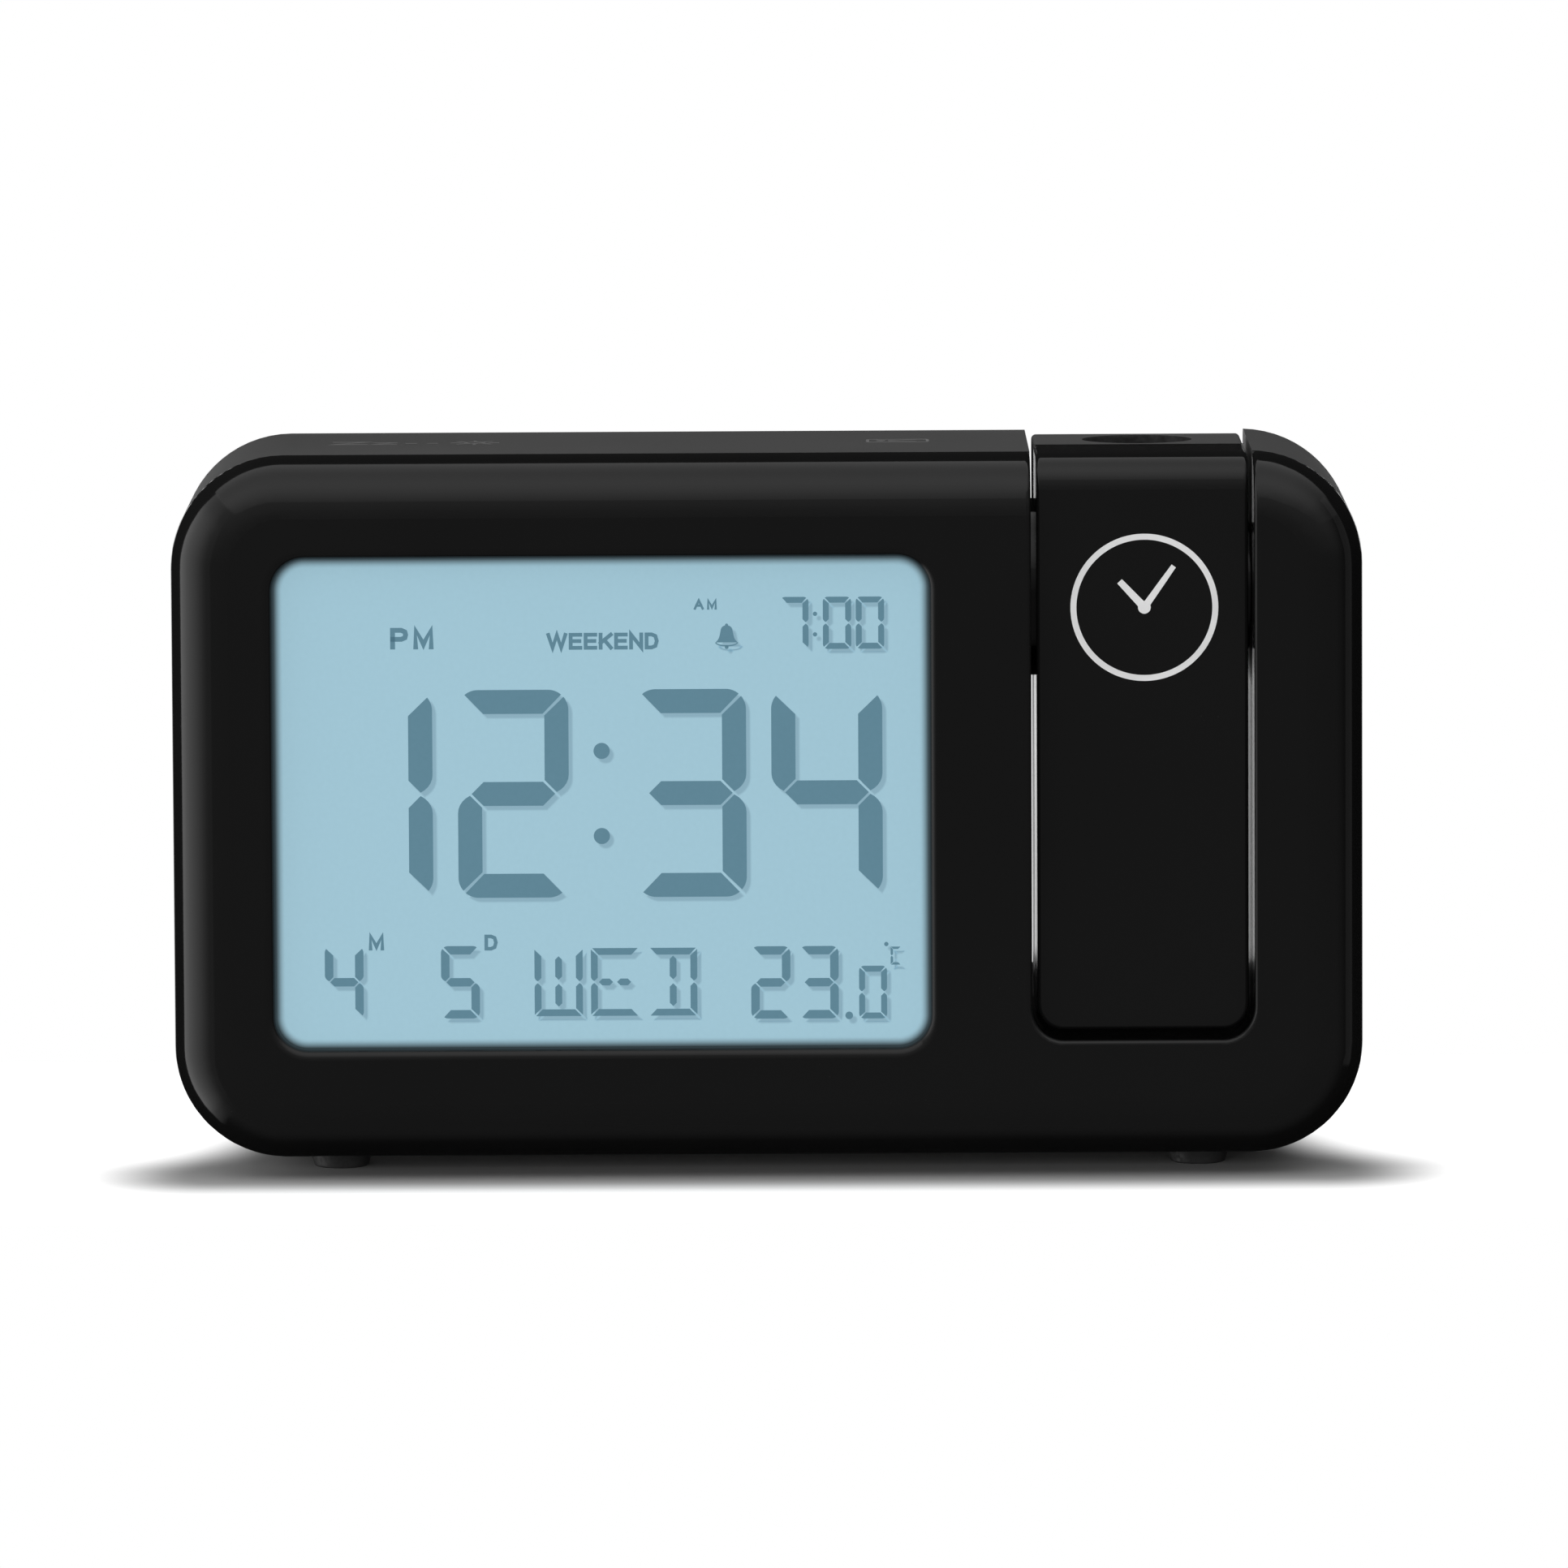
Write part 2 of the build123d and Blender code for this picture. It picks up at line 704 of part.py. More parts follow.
connector_size = 6.0
connector_height = 4.0
connector_corner = 0.4
connector_left = main_board_right - 4 * connector_size
connector_right = connector_left + connector_size
with BuildPart() as arm_connector:
    block((connector_left, board_back_y, pivot_z - connector_size / 2),
          (connector_right, board_back_y + connector_height, pivot_z + connector_size / 2))
    fillet(arm_connector.edges().filter_by(Axis.Y), connector_corner)
save(arm_connector, "arm_connector")

# Touch pads of copper foil under the top wall, each with a lead down to the board
foil_thickness = 0.3
foil_y_back = 10.0
foil_width = 17.0
light_pad_inset = 31.5
projector_pad_distance = 19.55
foil_places = {
    "light_touch_pad": -body_width / 2 + light_pad_inset,
    "projector_touch_pad": slot_left - projector_pad_distance,
}
foil_corner = 2.0
lead_radius = 0.5
lead_drop = 4.0
for name, x in foil_places.items():
    with BuildPart() as touch_pad:
        block((x - foil_width / 2, board_front_y, top_z - wall - foil_thickness),
              (x + foil_width / 2, foil_y_back, top_z - wall))
        fillet(touch_pad.edges().filter_by(Axis.Z), foil_corner)
    save(touch_pad, name)
with BuildPart() as touch_leads:
    for x in foil_places.values():
        rod_z(main_board_high - lead_drop, top_z - wall - foil_thickness, lead_radius, x - foil_width / 3,
              board_back_y + lead_radius)
save(touch_leads, "touch_leads")

# ================================================================ body: rear controls
cap_proud = 0.9
cap_round = 0.5
recess_floor_y = rear_y - recess_depth
flange_back_y = control_inner_y - running_gap
flange_thickness = 1.0
stem_radius = 1.5
stem_length = 1.1
stem_tip_y = flange_back_y - flange_thickness - stem_length
tact_body = 6.0
tact_height = 3.5
plunger_radius = 1.7
for name, x in zip(button_names, button_places):
    with BuildPart() as push_button:
        with BuildSketch(facing_front(recess_floor_y + cap_proud)):
            with Locations((x, controls_z)):
                RectangleRounded(button_width, button_height, button_corner)
        extrude(amount=recess_floor_y + cap_proud - flange_back_y + flange_thickness)
        fillet(push_button.faces().sort_by(Axis.Y)[-1].edges(), cap_round)
        with BuildSketch(facing_front(flange_back_y)):
            with Locations((x, controls_z)):
                RectangleRounded(button_width + 2 * button_flange, button_height + 2 * button_flange,
                                 button_corner)
        extrude(amount=flange_thickness)
        rod_y(stem_tip_y, flange_back_y, stem_radius, x, controls_z)
    save(push_button, name)

with BuildPart() as button_board:
    block((button_board_left, button_board_y - board_thickness, button_board_low),
          (button_board_right, button_board_y, button_board_high))
    fillet(button_board.edges().filter_by(Axis.Y), board_corner)
    for x, z in button_post_places:
        rod_y(button_board_y - board_thickness, button_board_y, small_screw_radius + screw_gap, x, z,
              mode=Mode.SUBTRACT)
save(button_board, "button_board")

with BuildPart() as tact_switches:
    for x in button_places:
        block((x - tact_body / 2, button_board_y, controls_z - tact_body / 2),
              (x + tact_body / 2, button_board_y + tact_height, controls_z + tact_body / 2))
        rod_y(button_board_y + tact_height, stem_tip_y - button_travel - running_gap, plunger_radius,
              x, controls_z)
save(tact_switches, "tact_switches")

knob_width = switch_slot_length - switch_travel - 2 * loose_gap
knob_height = switch_slot_height - 2 * loose_gap
knob_x = switch_x - switch_travel / 2
knob_flange_half = switch_slot_length / 2 + switch_travel / 2 + button_gap
knob_flange_rise = 1.0
knob_round = 0.3
knob_grooves = 3
groove_pitch = 1.6
groove_width = 0.5
knob_groove_depth = 0.35
lever_half = 1.0
fork_wall = 1.2
fork_half = 1.5
fork_clearance = 0.4
lever_clearance = 0.6
switch_case_half_x = 6.0
switch_case_half_z = 3.0
switch_case_height = 3.8
lever_seat_height = 2.4
lever_low_y = button_board_y + lever_seat_height
switch_top_y = button_board_y + switch_case_height
lever_tip_y = flange_back_y - flange_thickness - lever_clearance
with BuildPart() as switch_knob:
    block((knob_x - knob_width / 2, flange_back_y - flange_thickness, controls_z - knob_height / 2),
          (knob_x + knob_width / 2, recess_floor_y + cap_proud, controls_z + knob_height / 2))
    fillet(switch_knob.faces().sort_by(Axis.Y)[-1].edges(), knob_round)
    knob_face_y = recess_floor_y + cap_proud
    knob_low = controls_z - knob_height / 2
    knob_high = controls_z + knob_height / 2
    for groove in range(knob_grooves):
        groove_x = knob_x + groove_pitch * (groove - (knob_grooves - 1) / 2)
        block((groove_x - groove_width / 2, knob_face_y - knob_groove_depth, knob_low),
              (groove_x + groove_width / 2, knob_face_y, knob_high), mode=Mode.SUBTRACT)
    block((knob_x - knob_flange_half, flange_back_y - flange_thickness, knob_low - knob_flange_rise),
          (knob_x + knob_flange_half, flange_back_y, knob_high + knob_flange_rise))
    for side in (-1, 1):
        inner = knob_x + side * (lever_half + running_gap)
        outer = inner + side * fork_wall
        block((min(inner, outer), switch_top_y + fork_clearance, controls_z - fork_half),
              (max(inner, outer), flange_back_y - flange_thickness / 2, controls_z + fork_half))
save(switch_knob, "switch_knob")

with BuildPart() as switch_lever:
    block((knob_x - lever_half, lever_low_y + running_gap, controls_z - lever_half),
          (knob_x + lever_half, lever_tip_y, controls_z + lever_half))
save(switch_lever, "switch_lever")

with BuildPart() as switch_case:
    block((switch_x - switch_case_half_x, button_board_y, controls_z - switch_case_half_z),
          (switch_x + switch_case_half_x, switch_top_y, controls_z + switch_case_half_z))
    lever_room = lever_half + loose_gap
    block((knob_x - lever_room, lever_low_y, controls_z - lever_room),
          (knob_x + lever_room + switch_travel, switch_top_y, controls_z + lever_room), mode=Mode.SUBTRACT)
save(switch_case, "switch_case")

# ================================================================ body: power socket and buzzer
socket_length = 14.0
socket_half_width = 4.5
socket_drop = 5.5
socket_top = 5.0
pin_set_back = 0.8
with BuildPart() as power_socket:
    block((socket_x - socket_half_width, rear_inner_y - socket_length, socket_z - socket_drop),
          (socket_x + socket_half_width, rear_inner_y, socket_z + socket_top))
    rod_y(rear_inner_y - socket_bore_length, rear_inner_y, socket_bore_radius, socket_x, socket_z,
          mode=Mode.SUBTRACT)
    rod_y(rear_inner_y - socket_bore_length, rear_inner_y - pin_set_back, socket_pin_radius,
          socket_x, socket_z)
save(power_socket, "power_socket")

buzzer_room = 1.5
buzzer_round = 0.6
with BuildPart() as buzzer:
    rod_y(rear_inner_y - buzzer_thickness, rear_inner_y, buzzer_radius, buzzer_x, buzzer_z)
    rod_y(rear_inner_y - buzzer_room, rear_inner_y, buzzer_radius / 2, buzzer_x, buzzer_z, mode=Mode.SUBTRACT)
    fillet(buzzer.faces().sort_by(Axis.Y)[0].edges(), buzzer_round)
save(buzzer, "buzzer")

# ================================================================ body: feet and screws
foot_edge_round = 0.4
foot_names = ["front_left_foot", "front_right_foot", "rear_left_foot", "rear_right_foot"]
for name, (x, y) in zip(foot_names, foot_places):
    with BuildPart() as foot:
        with Locations((x, y, foot_height / 2)):
            Cone(foot_tip_radius, foot_radius, foot_height)
        fillet(foot.faces().sort_by(Axis.Z)[0].edges(), foot_edge_round)
        rod_z(foot_height, foot_height + foot_stud_height, foot_stud_radius, x, y)
    save(foot, name)


cross_reach = 0.6
cross_depth = 0.6
cross_half_width = 0.2


def screw(seat_y, x, z, shank_radius, head_radius, head_height, length, towards):
    """A cross-head screw along Y: its shank points the given way from its seat."""
    tip_y = seat_y + towards * length
    head_y = seat_y - towards * head_height
    rod_y(min(seat_y, tip_y), max(seat_y, tip_y), shank_radius, x, z)
    rod_y(min(seat_y, head_y), max(seat_y, head_y), head_radius, x, z)
    floor_y = head_y + towards * head_height * cross_depth
    cross_half_length = head_radius * cross_reach
    for half_x, half_z in ((cross_half_length, cross_half_width), (cross_half_width, cross_half_length)):
        block((x - half_x, min(head_y, floor_y), z - half_z), (x + half_x, max(head_y, floor_y), z + half_z),
              mode=Mode.SUBTRACT)


with BuildPart() as shell_screws:
    for x, z in shell_screw_places:
        screw(shell_post_y, x, z, screw_radius, screw_head_radius, screw_head_height,
              screw_length - loose_gap, -1)
save(shell_screws, "shell_screws")

with BuildPart() as tray_screws:
    for x, z in holder_ear_places:
        screw(tray_back_y, x, z, small_screw_radius, small_head_radius, small_head_height,
              small_screw_length, -1)
save(tray_screws, "tray_screws")

with BuildPart() as board_screws:
    for x, z in peg_places:
        screw(board_back_y, x, z, small_screw_radius, small_head_radius, small_head_height,
              board_thickness + peg_height + tray_floor - 2 * stack_gap, -1)
save(board_screws, "board_screws")

with BuildPart() as button_board_screws:
    for x, z in button_post_places:
        screw(button_board_y - board_thickness, x, z, small_screw_radius, small_head_radius,
              small_head_height, small_screw_length, 1)
save(button_board_screws, "button_board_screws")

# ================================================================ arm: its two halves
arm_inner_left = arm_left + arm_wall
arm_inner_right = arm_right - arm_wall
arm_inner_rear_y = arm_rear_y - arm_wall
hub_inner_length = 1.55
collar_wall = 1.5
collar_gap = 0.2
collar_radius = barrel_radius + collar_wall
collar_bore_radius = barrel_radius + collar_gap
wheel_gap = 0.1
port_rim_round = 0.5
collar_low_z = wheel_z + wheel_height + wheel_gap
arm_screw_half = 9.3
arm_post_radius = 2.8
arm_screw_low_rise = 8.7
arm_screw_high_drop = 6.8
arm_screw_z = (pivot_z - arm_end_radius + arm_screw_low_rise, top_z - arm_screw_high_drop)
arm_screw_places = [(slot_x + side * arm_screw_half, z) for side in (-1, 1) for z in arm_screw_z]
arm_screw_seat_height = 5.4
arm_screw_bore_length = 6.0
arm_screw_seat_y = pivot_y + arm_screw_seat_height
arm_screw_length = 9.5
rib_half = 7.8
rib_thickness = 1.2
rib_low_rise = 4.1
rib_high_drop = 9.2
rib_low_z = optics_base_z + rib_low_rise
rib_high_z = pivot_z - rib_high_drop
optics_front_y = lens_y - optics_depth / 2

arm_outside = arm_block(0)
arm_inside = arm_block(arm_wall)

with BuildPart() as arm_form:
    add(arm_outside)
    side_rims = (
        arm_form.faces()
        .filter_by(Axis.X)
        .edges()
        .filter_by(lambda edge: edge.geom_type != GeomType.CIRCLE or edge.radius < 2 * arm_top_round)
    )
    end_rims = [face.edges().sort_by(Axis.Z)[0] for face in arm_form.faces().filter_by(Axis.Y)]
    fillet(list(side_rims) + end_rims, arm_edge_round)
    # Round pads that keep the arm's sides off the walls of the slot
    rod_x(arm_left - pad_thickness, arm_left + arm_wall / 2, left_pad_radius, pivot_y, pivot_z)
    rod_x(arm_right - arm_wall / 2, arm_right + pad_thickness, right_pad_radius, pivot_y, pivot_z)
    add(arm_inside, mode=Mode.SUBTRACT)

parting_plane = Plane(origin=(0, pivot_y, 0), x_dir=(1, 0, 0), z_dir=(0, 1, 0))

with BuildPart() as arm_front_cover:
    add(arm_form.part)
    split(bisect_by=parting_plane, keep=Keep.BOTTOM)
    for x, z in arm_screw_places:
        rod_y(arm_front_y + arm_wall / 2, pivot_y, arm_post_radius, x, z)
        rod_y(pivot_y - arm_screw_bore_length, pivot_y, small_screw_radius + screw_gap, x, z,
              mode=Mode.SUBTRACT)
    for side in (-1, 1):
        rib_x = slot_x + side * rib_half
        block((rib_x - rib_thickness / 2, arm_front_y + arm_wall / 2, rib_low_z),
              (rib_x + rib_thickness / 2, optics_front_y - loose_gap, rib_high_z))
    rod_x(arm_left - arm_wall, arm_inner_left + loose_gap, left_hub_radius + running_gap,
          pivot_y, pivot_z, mode=Mode.SUBTRACT)
    rod_x(arm_inner_right - loose_gap, arm_right + arm_wall, right_hub_radius + running_gap,
          pivot_y, pivot_z, mode=Mode.SUBTRACT)
save(arm_front_cover, "arm_front_cover")

with BuildPart() as arm_rear_housing:
    add(arm_form.part)
    split(bisect_by=parting_plane, keep=Keep.TOP)
    for x, z in arm_screw_places:
        rod_y(pivot_y, arm_rear_y - arm_wall / 2, arm_post_radius, x, z)
    rod_z(collar_low_z, top_z - arm_wall / 2, collar_radius, slot_x, lens_y)
    for x, z in arm_screw_places:
        rod_y(arm_screw_seat_y, arm_rear_y, small_head_radius + loose_gap, x, z, mode=Mode.SUBTRACT)
        rod_y(pivot_y, arm_rear_y, small_screw_radius + screw_gap, x, z, mode=Mode.SUBTRACT)
    # Lens port: a dished mouth over the bore that the lens barrel slides in
    with Locations((slot_x, lens_y, top_z - port_depth / 2)):
        Cone(collar_bore_radius, port_radius, port_depth, mode=Mode.SUBTRACT)
    port_rim = arm_rear_housing.edges().filter_by(GeomType.CIRCLE).group_by(Axis.Z)[-1]
    fillet(port_rim, port_rim_round)
    rod_z(collar_low_z, top_z, collar_bore_radius, slot_x, lens_y, mode=Mode.SUBTRACT)
    # Window in the back for the rim of the focus wheel
    window_half = math.sqrt(wheel_radius**2 - (arm_inner_rear_y - lens_y) ** 2) + 2 * loose_gap
    block((slot_x - window_half, arm_inner_rear_y - loose_gap, wheel_z - 2 * loose_gap),
          (slot_x + window_half, arm_rear_y, wheel_z + wheel_height + 2 * loose_gap), mode=Mode.SUBTRACT)
    rod_x(arm_left - arm_wall, arm_inner_left + loose_gap, left_hub_radius + running_gap,
          pivot_y, pivot_z, mode=Mode.SUBTRACT)
    rod_x(arm_inner_right - loose_gap, arm_right + arm_wall, right_hub_radius + running_gap,
          pivot_y, pivot_z, mode=Mode.SUBTRACT)
save(arm_rear_housing, "arm_rear_housing")

# ================================================================ arm: hubs
groove_depth = 0.6
washer_inset = 0.5
clip_opening = 0.6
hubs = {
    "left": (slot_left - wall, arm_inner_left, left_hub_radius, left_hub_bore_radius, 1),
    "right": (slot_right + wall, arm_inner_right, right_hub_radius, 0.0, -1),
}
hub_places = {}
for name, (wall_x, arm_wall_x, radius, bore_radius, inwards) in hubs.items():
    washer_x = wall_x - inwards * running_gap
    flange_x = washer_x - inwards * washer_thickness
    outer_x = flange_x - inwards * hub_flange_thickness
    inner_x = arm_wall_x + inwards * hub_inner_length
    clip_x = arm_wall_x + inwards * running_gap
    clip_far_x = clip_x + inwards * clip_thickness
    hub_places[name] = (radius, sorted((washer_x, flange_x)), sorted((clip_x, clip_far_x)))
    with BuildPart() as hub:
        rod_x(min(outer_x, flange_x), max(outer_x, flange_x), radius + hub_flange_extra, pivot_y, pivot_z)
        rod_x(min(outer_x, inner_x), max(outer_x, inner_x), radius, pivot_y, pivot_z)
        rod_x(min(clip_x, clip_far_x), max(clip_x, clip_far_x), radius + clip_width, pivot_y, pivot_z,
              mode=Mode.SUBTRACT)
        rod_x(min(outer_x, inner_x), max(outer_x, inner_x), radius - groove_depth, pivot_y, pivot_z)
        if bore_radius > 0:
            rod_x(min(outer_x, inner_x), max(outer_x, inner_x), bore_radius, pivot_y, pivot_z,
                  mode=Mode.SUBTRACT)
    save(hub, f"{name}_hub")

with BuildPart() as friction_washers:
    for radius, (low_x, high_x), _ in hub_places.values():
        rod_x(low_x, high_x, radius + hub_flange_extra - washer_inset, pivot_y, pivot_z)
        rod_x(low_x, high_x, radius + running_gap, pivot_y, pivot_z, mode=Mode.SUBTRACT)
save(friction_washers, "friction_washers")

with BuildPart() as hub_clips:
    for radius, _, (low_x, high_x) in hub_places.values():
        rod_x(low_x, high_x, radius + clip_width - groove_depth, pivot_y, pivot_z)
        rod_x(low_x, high_x, radius - groove_depth + running_gap, pivot_y, pivot_z, mode=Mode.SUBTRACT)
        block((low_x, pivot_y - 2 * radius, pivot_z - radius * clip_opening),
              (high_x, pivot_y, pivot_z + radius * clip_opening), mode=Mode.SUBTRACT)
save(hub_clips, "hub_clips")

# ================================================================ arm: projector
optics_top_z = wheel_z - wheel_gap
barrel_top_z = top_z - barrel_top_drop
barrel_low_z = barrel_top_z - barrel_length
light_path_half = 5.2
condenser_radius = 5.8
condenser_rise = 9.0
condenser_height = 3.6
condenser_dome_radius = 9.0
condenser_z = optics_base_z + condenser_rise
film_rise = 20.0
film_z = optics_base_z + film_rise
film_height = 2.2
film_half_x = 7.0
film_half_y = 5.6
bore_room = 4.5
bore_low_z = barrel_low_z - bore_room
optics_corner = 1.0
led_screw_half = 7.5
led_screw_length = 5.0
led_screw_radius = 0.7
with BuildPart() as optics_tube:
    block((slot_x - optics_width / 2, optics_front_y, optics_base_z),
          (slot_x + optics_width / 2, arm_inner_rear_y, optics_top_z))
    fillet(optics_tube.edges().filter_by(Axis.Z), optics_corner)
    block((slot_x - light_path_half, lens_y - light_path_half, optics_base_z),
          (slot_x + light_path_half, lens_y + light_path_half, bore_low_z), mode=Mode.SUBTRACT)
    rod_z(condenser_z - running_gap, condenser_z + condenser_height + running_gap,
          condenser_radius + running_gap, slot_x, lens_y, mode=Mode.SUBTRACT)
    block((slot_x - film_half_x - running_gap, optics_front_y, film_z - running_gap),
          (slot_x + film_half_x + running_gap, lens_y + film_half_y + running_gap,
           film_z + film_height + running_gap), mode=Mode.SUBTRACT)
    rod_z(bore_low_z, optics_top_z, barrel_radius + wheel_gap, slot_x, lens_y, mode=Mode.SUBTRACT)
    for side in (-1, 1):
        rod_z(optics_base_z, optics_base_z + led_screw_length, led_screw_radius + screw_gap,
              slot_x + side * led_screw_half, lens_y, mode=Mode.SUBTRACT)
save(optics_tube, "optics_tube")

with BuildPart() as condenser_lens:
    rod_z(condenser_z, condenser_z + condenser_height, condenser_radius, slot_x, lens_y)
    with Locations((slot_x, lens_y, condenser_z + condenser_height - condenser_dome_radius)):
        Sphere(condenser_dome_radius, mode=Mode.INTERSECT)
save(condenser_lens, "condenser_lens")

with BuildPart() as projector_film:
    block((slot_x - film_half_x, optics_front_y + running_gap, film_z),
          (slot_x + film_half_x, lens_y + film_half_y, film_z + film_height))
save(projector_film, "projector_film")

led_board_overhang = 5.0
led_board_front_y = optics_front_y - led_board_overhang
led_board_low_z = optics_base_z - board_thickness
with BuildPart() as led_board:
    block((slot_x - optics_width / 2, led_board_front_y, led_board_low_z),
          (slot_x + optics_width / 2, arm_inner_rear_y, optics_base_z))
    for side in (-1, 1):
        rod_z(led_board_low_z, optics_base_z, led_screw_radius + screw_gap,
              slot_x + side * led_screw_half, lens_y, mode=Mode.SUBTRACT)
save(led_board, "led_board")

led_half = 1.75
led_base_height = 1.0
led_dome_radius = 1.5
with BuildPart() as projector_led:
    block((slot_x - led_half, lens_y - led_half, optics_base_z),
          (slot_x + led_half, lens_y + led_half, optics_base_z + led_base_height))
    with Locations((slot_x, lens_y, optics_base_z + led_base_height)):
        Sphere(led_dome_radius, arc_size1=0)
save(projector_led, "projector_led")

sink_half_x = 5.6
sink_half_y = 5.6
sink_base = 1.5
sink_height = 6.5
fin_count = 5
fin_thickness = 1.0
fin_pitch = 2.5
with BuildPart() as heat_sink:
    block((slot_x - sink_half_x, lens_y - sink_half_y, led_board_low_z - sink_base),
          (slot_x + sink_half_x, lens_y + sink_half_y, led_board_low_z))
    for fin in range(fin_count):
        fin_x = slot_x + fin_pitch * (fin - (fin_count - 1) / 2)
        block((fin_x - fin_thickness / 2, lens_y - sink_half_y, led_board_low_z - sink_height),
              (fin_x + fin_thickness / 2, lens_y + sink_half_y, led_board_low_z - sink_base / 2))
save(heat_sink, "heat_sink")

barrel_lip = 0.8
lens_rim_width = 0.8
lens_seat_drop = 0.1
lens_radius = barrel_radius - barrel_wall - running_gap
lens_dome_radius = 7.0
with BuildPart() as lens_barrel:
    rod_z(barrel_low_z, barrel_top_z, barrel_radius, slot_x, lens_y)
    rod_z(barrel_low_z, barrel_top_z - barrel_lip, barrel_radius - barrel_wall, slot_x, lens_y,
          mode=Mode.SUBTRACT)
    with Locations((slot_x, lens_y, barrel_top_z - barrel_lip / 2)):
        Cone(barrel_radius - barrel_wall - barrel_lip, barrel_radius - barrel_wall, barrel_lip,
             mode=Mode.SUBTRACT)
save(lens_barrel, "lens_barrel")

lens_top_z = barrel_top_z - barrel_lip - running_gap
lens_rim_drop = lens_dome_radius - math.sqrt(lens_dome_radius**2 - (lens_radius - lens_rim_width) ** 2)
with BuildPart() as projection_lens:
    rod_z(lens_top_z - lens_height, lens_top_z, lens_radius, slot_x, lens_y)
    rod_z(lens_top_z - lens_seat_drop, lens_top_z + lens_rim_drop,
          lens_radius - lens_rim_width - lens_seat_drop, slot_x, lens_y)
    with Locations((slot_x, lens_y, lens_top_z + lens_rim_drop - lens_dome_radius)):
        Sphere(lens_dome_radius, mode=Mode.INTERSECT)
save(projection_lens, "projection_lens")

notch_radius = 0.45
wheel_edge_round = 0.4
with BuildPart() as focus_wheel:
    rod_z(wheel_z, wheel_z + wheel_height, wheel_radius, slot_x, lens_y)
    fillet(focus_wheel.edges().filter_by(GeomType.CIRCLE), wheel_edge_round)
    with BuildSketch(Plane.XY.offset(wheel_z)):
        with Locations((slot_x, lens_y)):
            with PolarLocations(wheel_radius + notch_radius / 3, wheel_teeth):
                Circle(notch_radius)
    extrude(amount=wheel_height, mode=Mode.SUBTRACT)
    rod_z(wheel_z, wheel_z + wheel_height, barrel_radius + wheel_gap, slot_x, lens_y, mode=Mode.SUBTRACT)
save(focus_wheel, "focus_wheel")

led_screw_head = 1.0
with BuildPart() as led_board_screws:
    for side in (-1, 1):
        x = slot_x + side * led_screw_half
        rod_z(led_board_low_z, led_board_low_z + led_screw_length, led_screw_radius, x, lens_y)
        rod_z(led_board_low_z - led_screw_head, led_board_low_z, 2 * led_screw_radius, x, lens_y)
save(led_board_screws, "led_board_screws")

with BuildPart() as arm_screws:
    for x, z in arm_screw_places:
        screw(arm_screw_seat_y, x, z, small_screw_radius, small_head_radius, small_head_height,
              arm_screw_length, -1)
save(arm_screws, "arm_screws")

# ================================================================ wires through the left hub
wire_radius = 1.2
wire_offset = 4.5
wire_overhang = 5.5
wire_x = slot_x - wire_offset
wire_end_x = slot_left - wall - wire_overhang
wire_bend = 7.0
board_wire_run = 8.0
board_wire_lead = 6.0
board_wire_bend = 9.0
with BuildPart() as arm_wires:
    with BuildLine() as route:
        FilletPolyline(
            (wire_x, pivot_y, optics_base_z),
            (wire_x, pivot_y, pivot_z),
            (wire_end_x, pivot_y, pivot_z),
            radius=wire_bend,
        )
    with BuildSketch(Plane.XY.offset(optics_base_z)):
        with Locations((wire_x, pivot_y)):
            Circle(wire_radius)
    sweep()
save(arm_wires, "arm_wires")

wire_board_y = board_back_y + connector_height / 2
with BuildPart() as board_wires:
    with BuildLine() as route:
        FilletPolyline(
            (wire_end_x, pivot_y, pivot_z),
            (wire_end_x - board_wire_run, pivot_y, pivot_z),
            (connector_right + board_wire_lead, wire_board_y, pivot_z),
            (connector_right, wire_board_y, pivot_z),
            radius=board_wire_bend,
        )
    with BuildSketch(Plane.YZ.offset(wire_end_x)):
        with Locations((pivot_y, pivot_z)):
            Circle(wire_radius)
    sweep()
save(board_wires, "board_wires")
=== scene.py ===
"""Projection alarm clock: the finishes, the display's figures, the printed marks and the studio.

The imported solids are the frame. Everything is laid out in the solids' own frame: +X to the right of
the reader, +Y to the back, +Z up, with the origin on the table below the body's middle.
"""

import json
import math

import bmesh
import bpy
import numpy as np
from mathutils import Matrix


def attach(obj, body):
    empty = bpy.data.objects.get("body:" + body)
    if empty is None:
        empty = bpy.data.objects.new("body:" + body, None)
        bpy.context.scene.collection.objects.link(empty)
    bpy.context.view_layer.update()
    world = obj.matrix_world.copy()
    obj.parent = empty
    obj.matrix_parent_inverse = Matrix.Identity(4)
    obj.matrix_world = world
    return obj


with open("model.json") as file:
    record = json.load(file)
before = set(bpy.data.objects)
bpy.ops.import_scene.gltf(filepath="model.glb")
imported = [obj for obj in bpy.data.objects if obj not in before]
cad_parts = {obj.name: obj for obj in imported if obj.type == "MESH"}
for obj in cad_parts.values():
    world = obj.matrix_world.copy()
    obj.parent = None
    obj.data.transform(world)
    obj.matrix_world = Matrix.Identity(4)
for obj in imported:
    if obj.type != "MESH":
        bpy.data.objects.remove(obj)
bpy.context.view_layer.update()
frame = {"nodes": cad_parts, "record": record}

# -------- sizes, in millimetres
MM = 0.001                # metres
FACE_Y = -20.0            # front of the display glass and of the arm's face
PARTING_Y = -14.0         # where the body's two shells meet
ARM_PARTING_Y = -3.4      # where the arm's cover meets its housing
REAR_Y = 22.0
TOP_Z = 91.2
BASE_Z = 2.4
BODY_HALF = 75.0
OUTLINE_RADIUS = 14.2
SLOT_X = 47.15            # middle of the slot and of the arm
SLOT_HALF = 14.0
ARM_HALF = 13.3
LENS_Y = 5.4
WINDOW_CENTRE = (-20.85, 47.7)
WINDOW_HALF = (41.1, 30.9)
WINDOW_RADIUS = 4.0
WINDOW_SHADE = (-0.3, 1.2)      # the display's painted shade, black at the window's rim, fades out between these depths
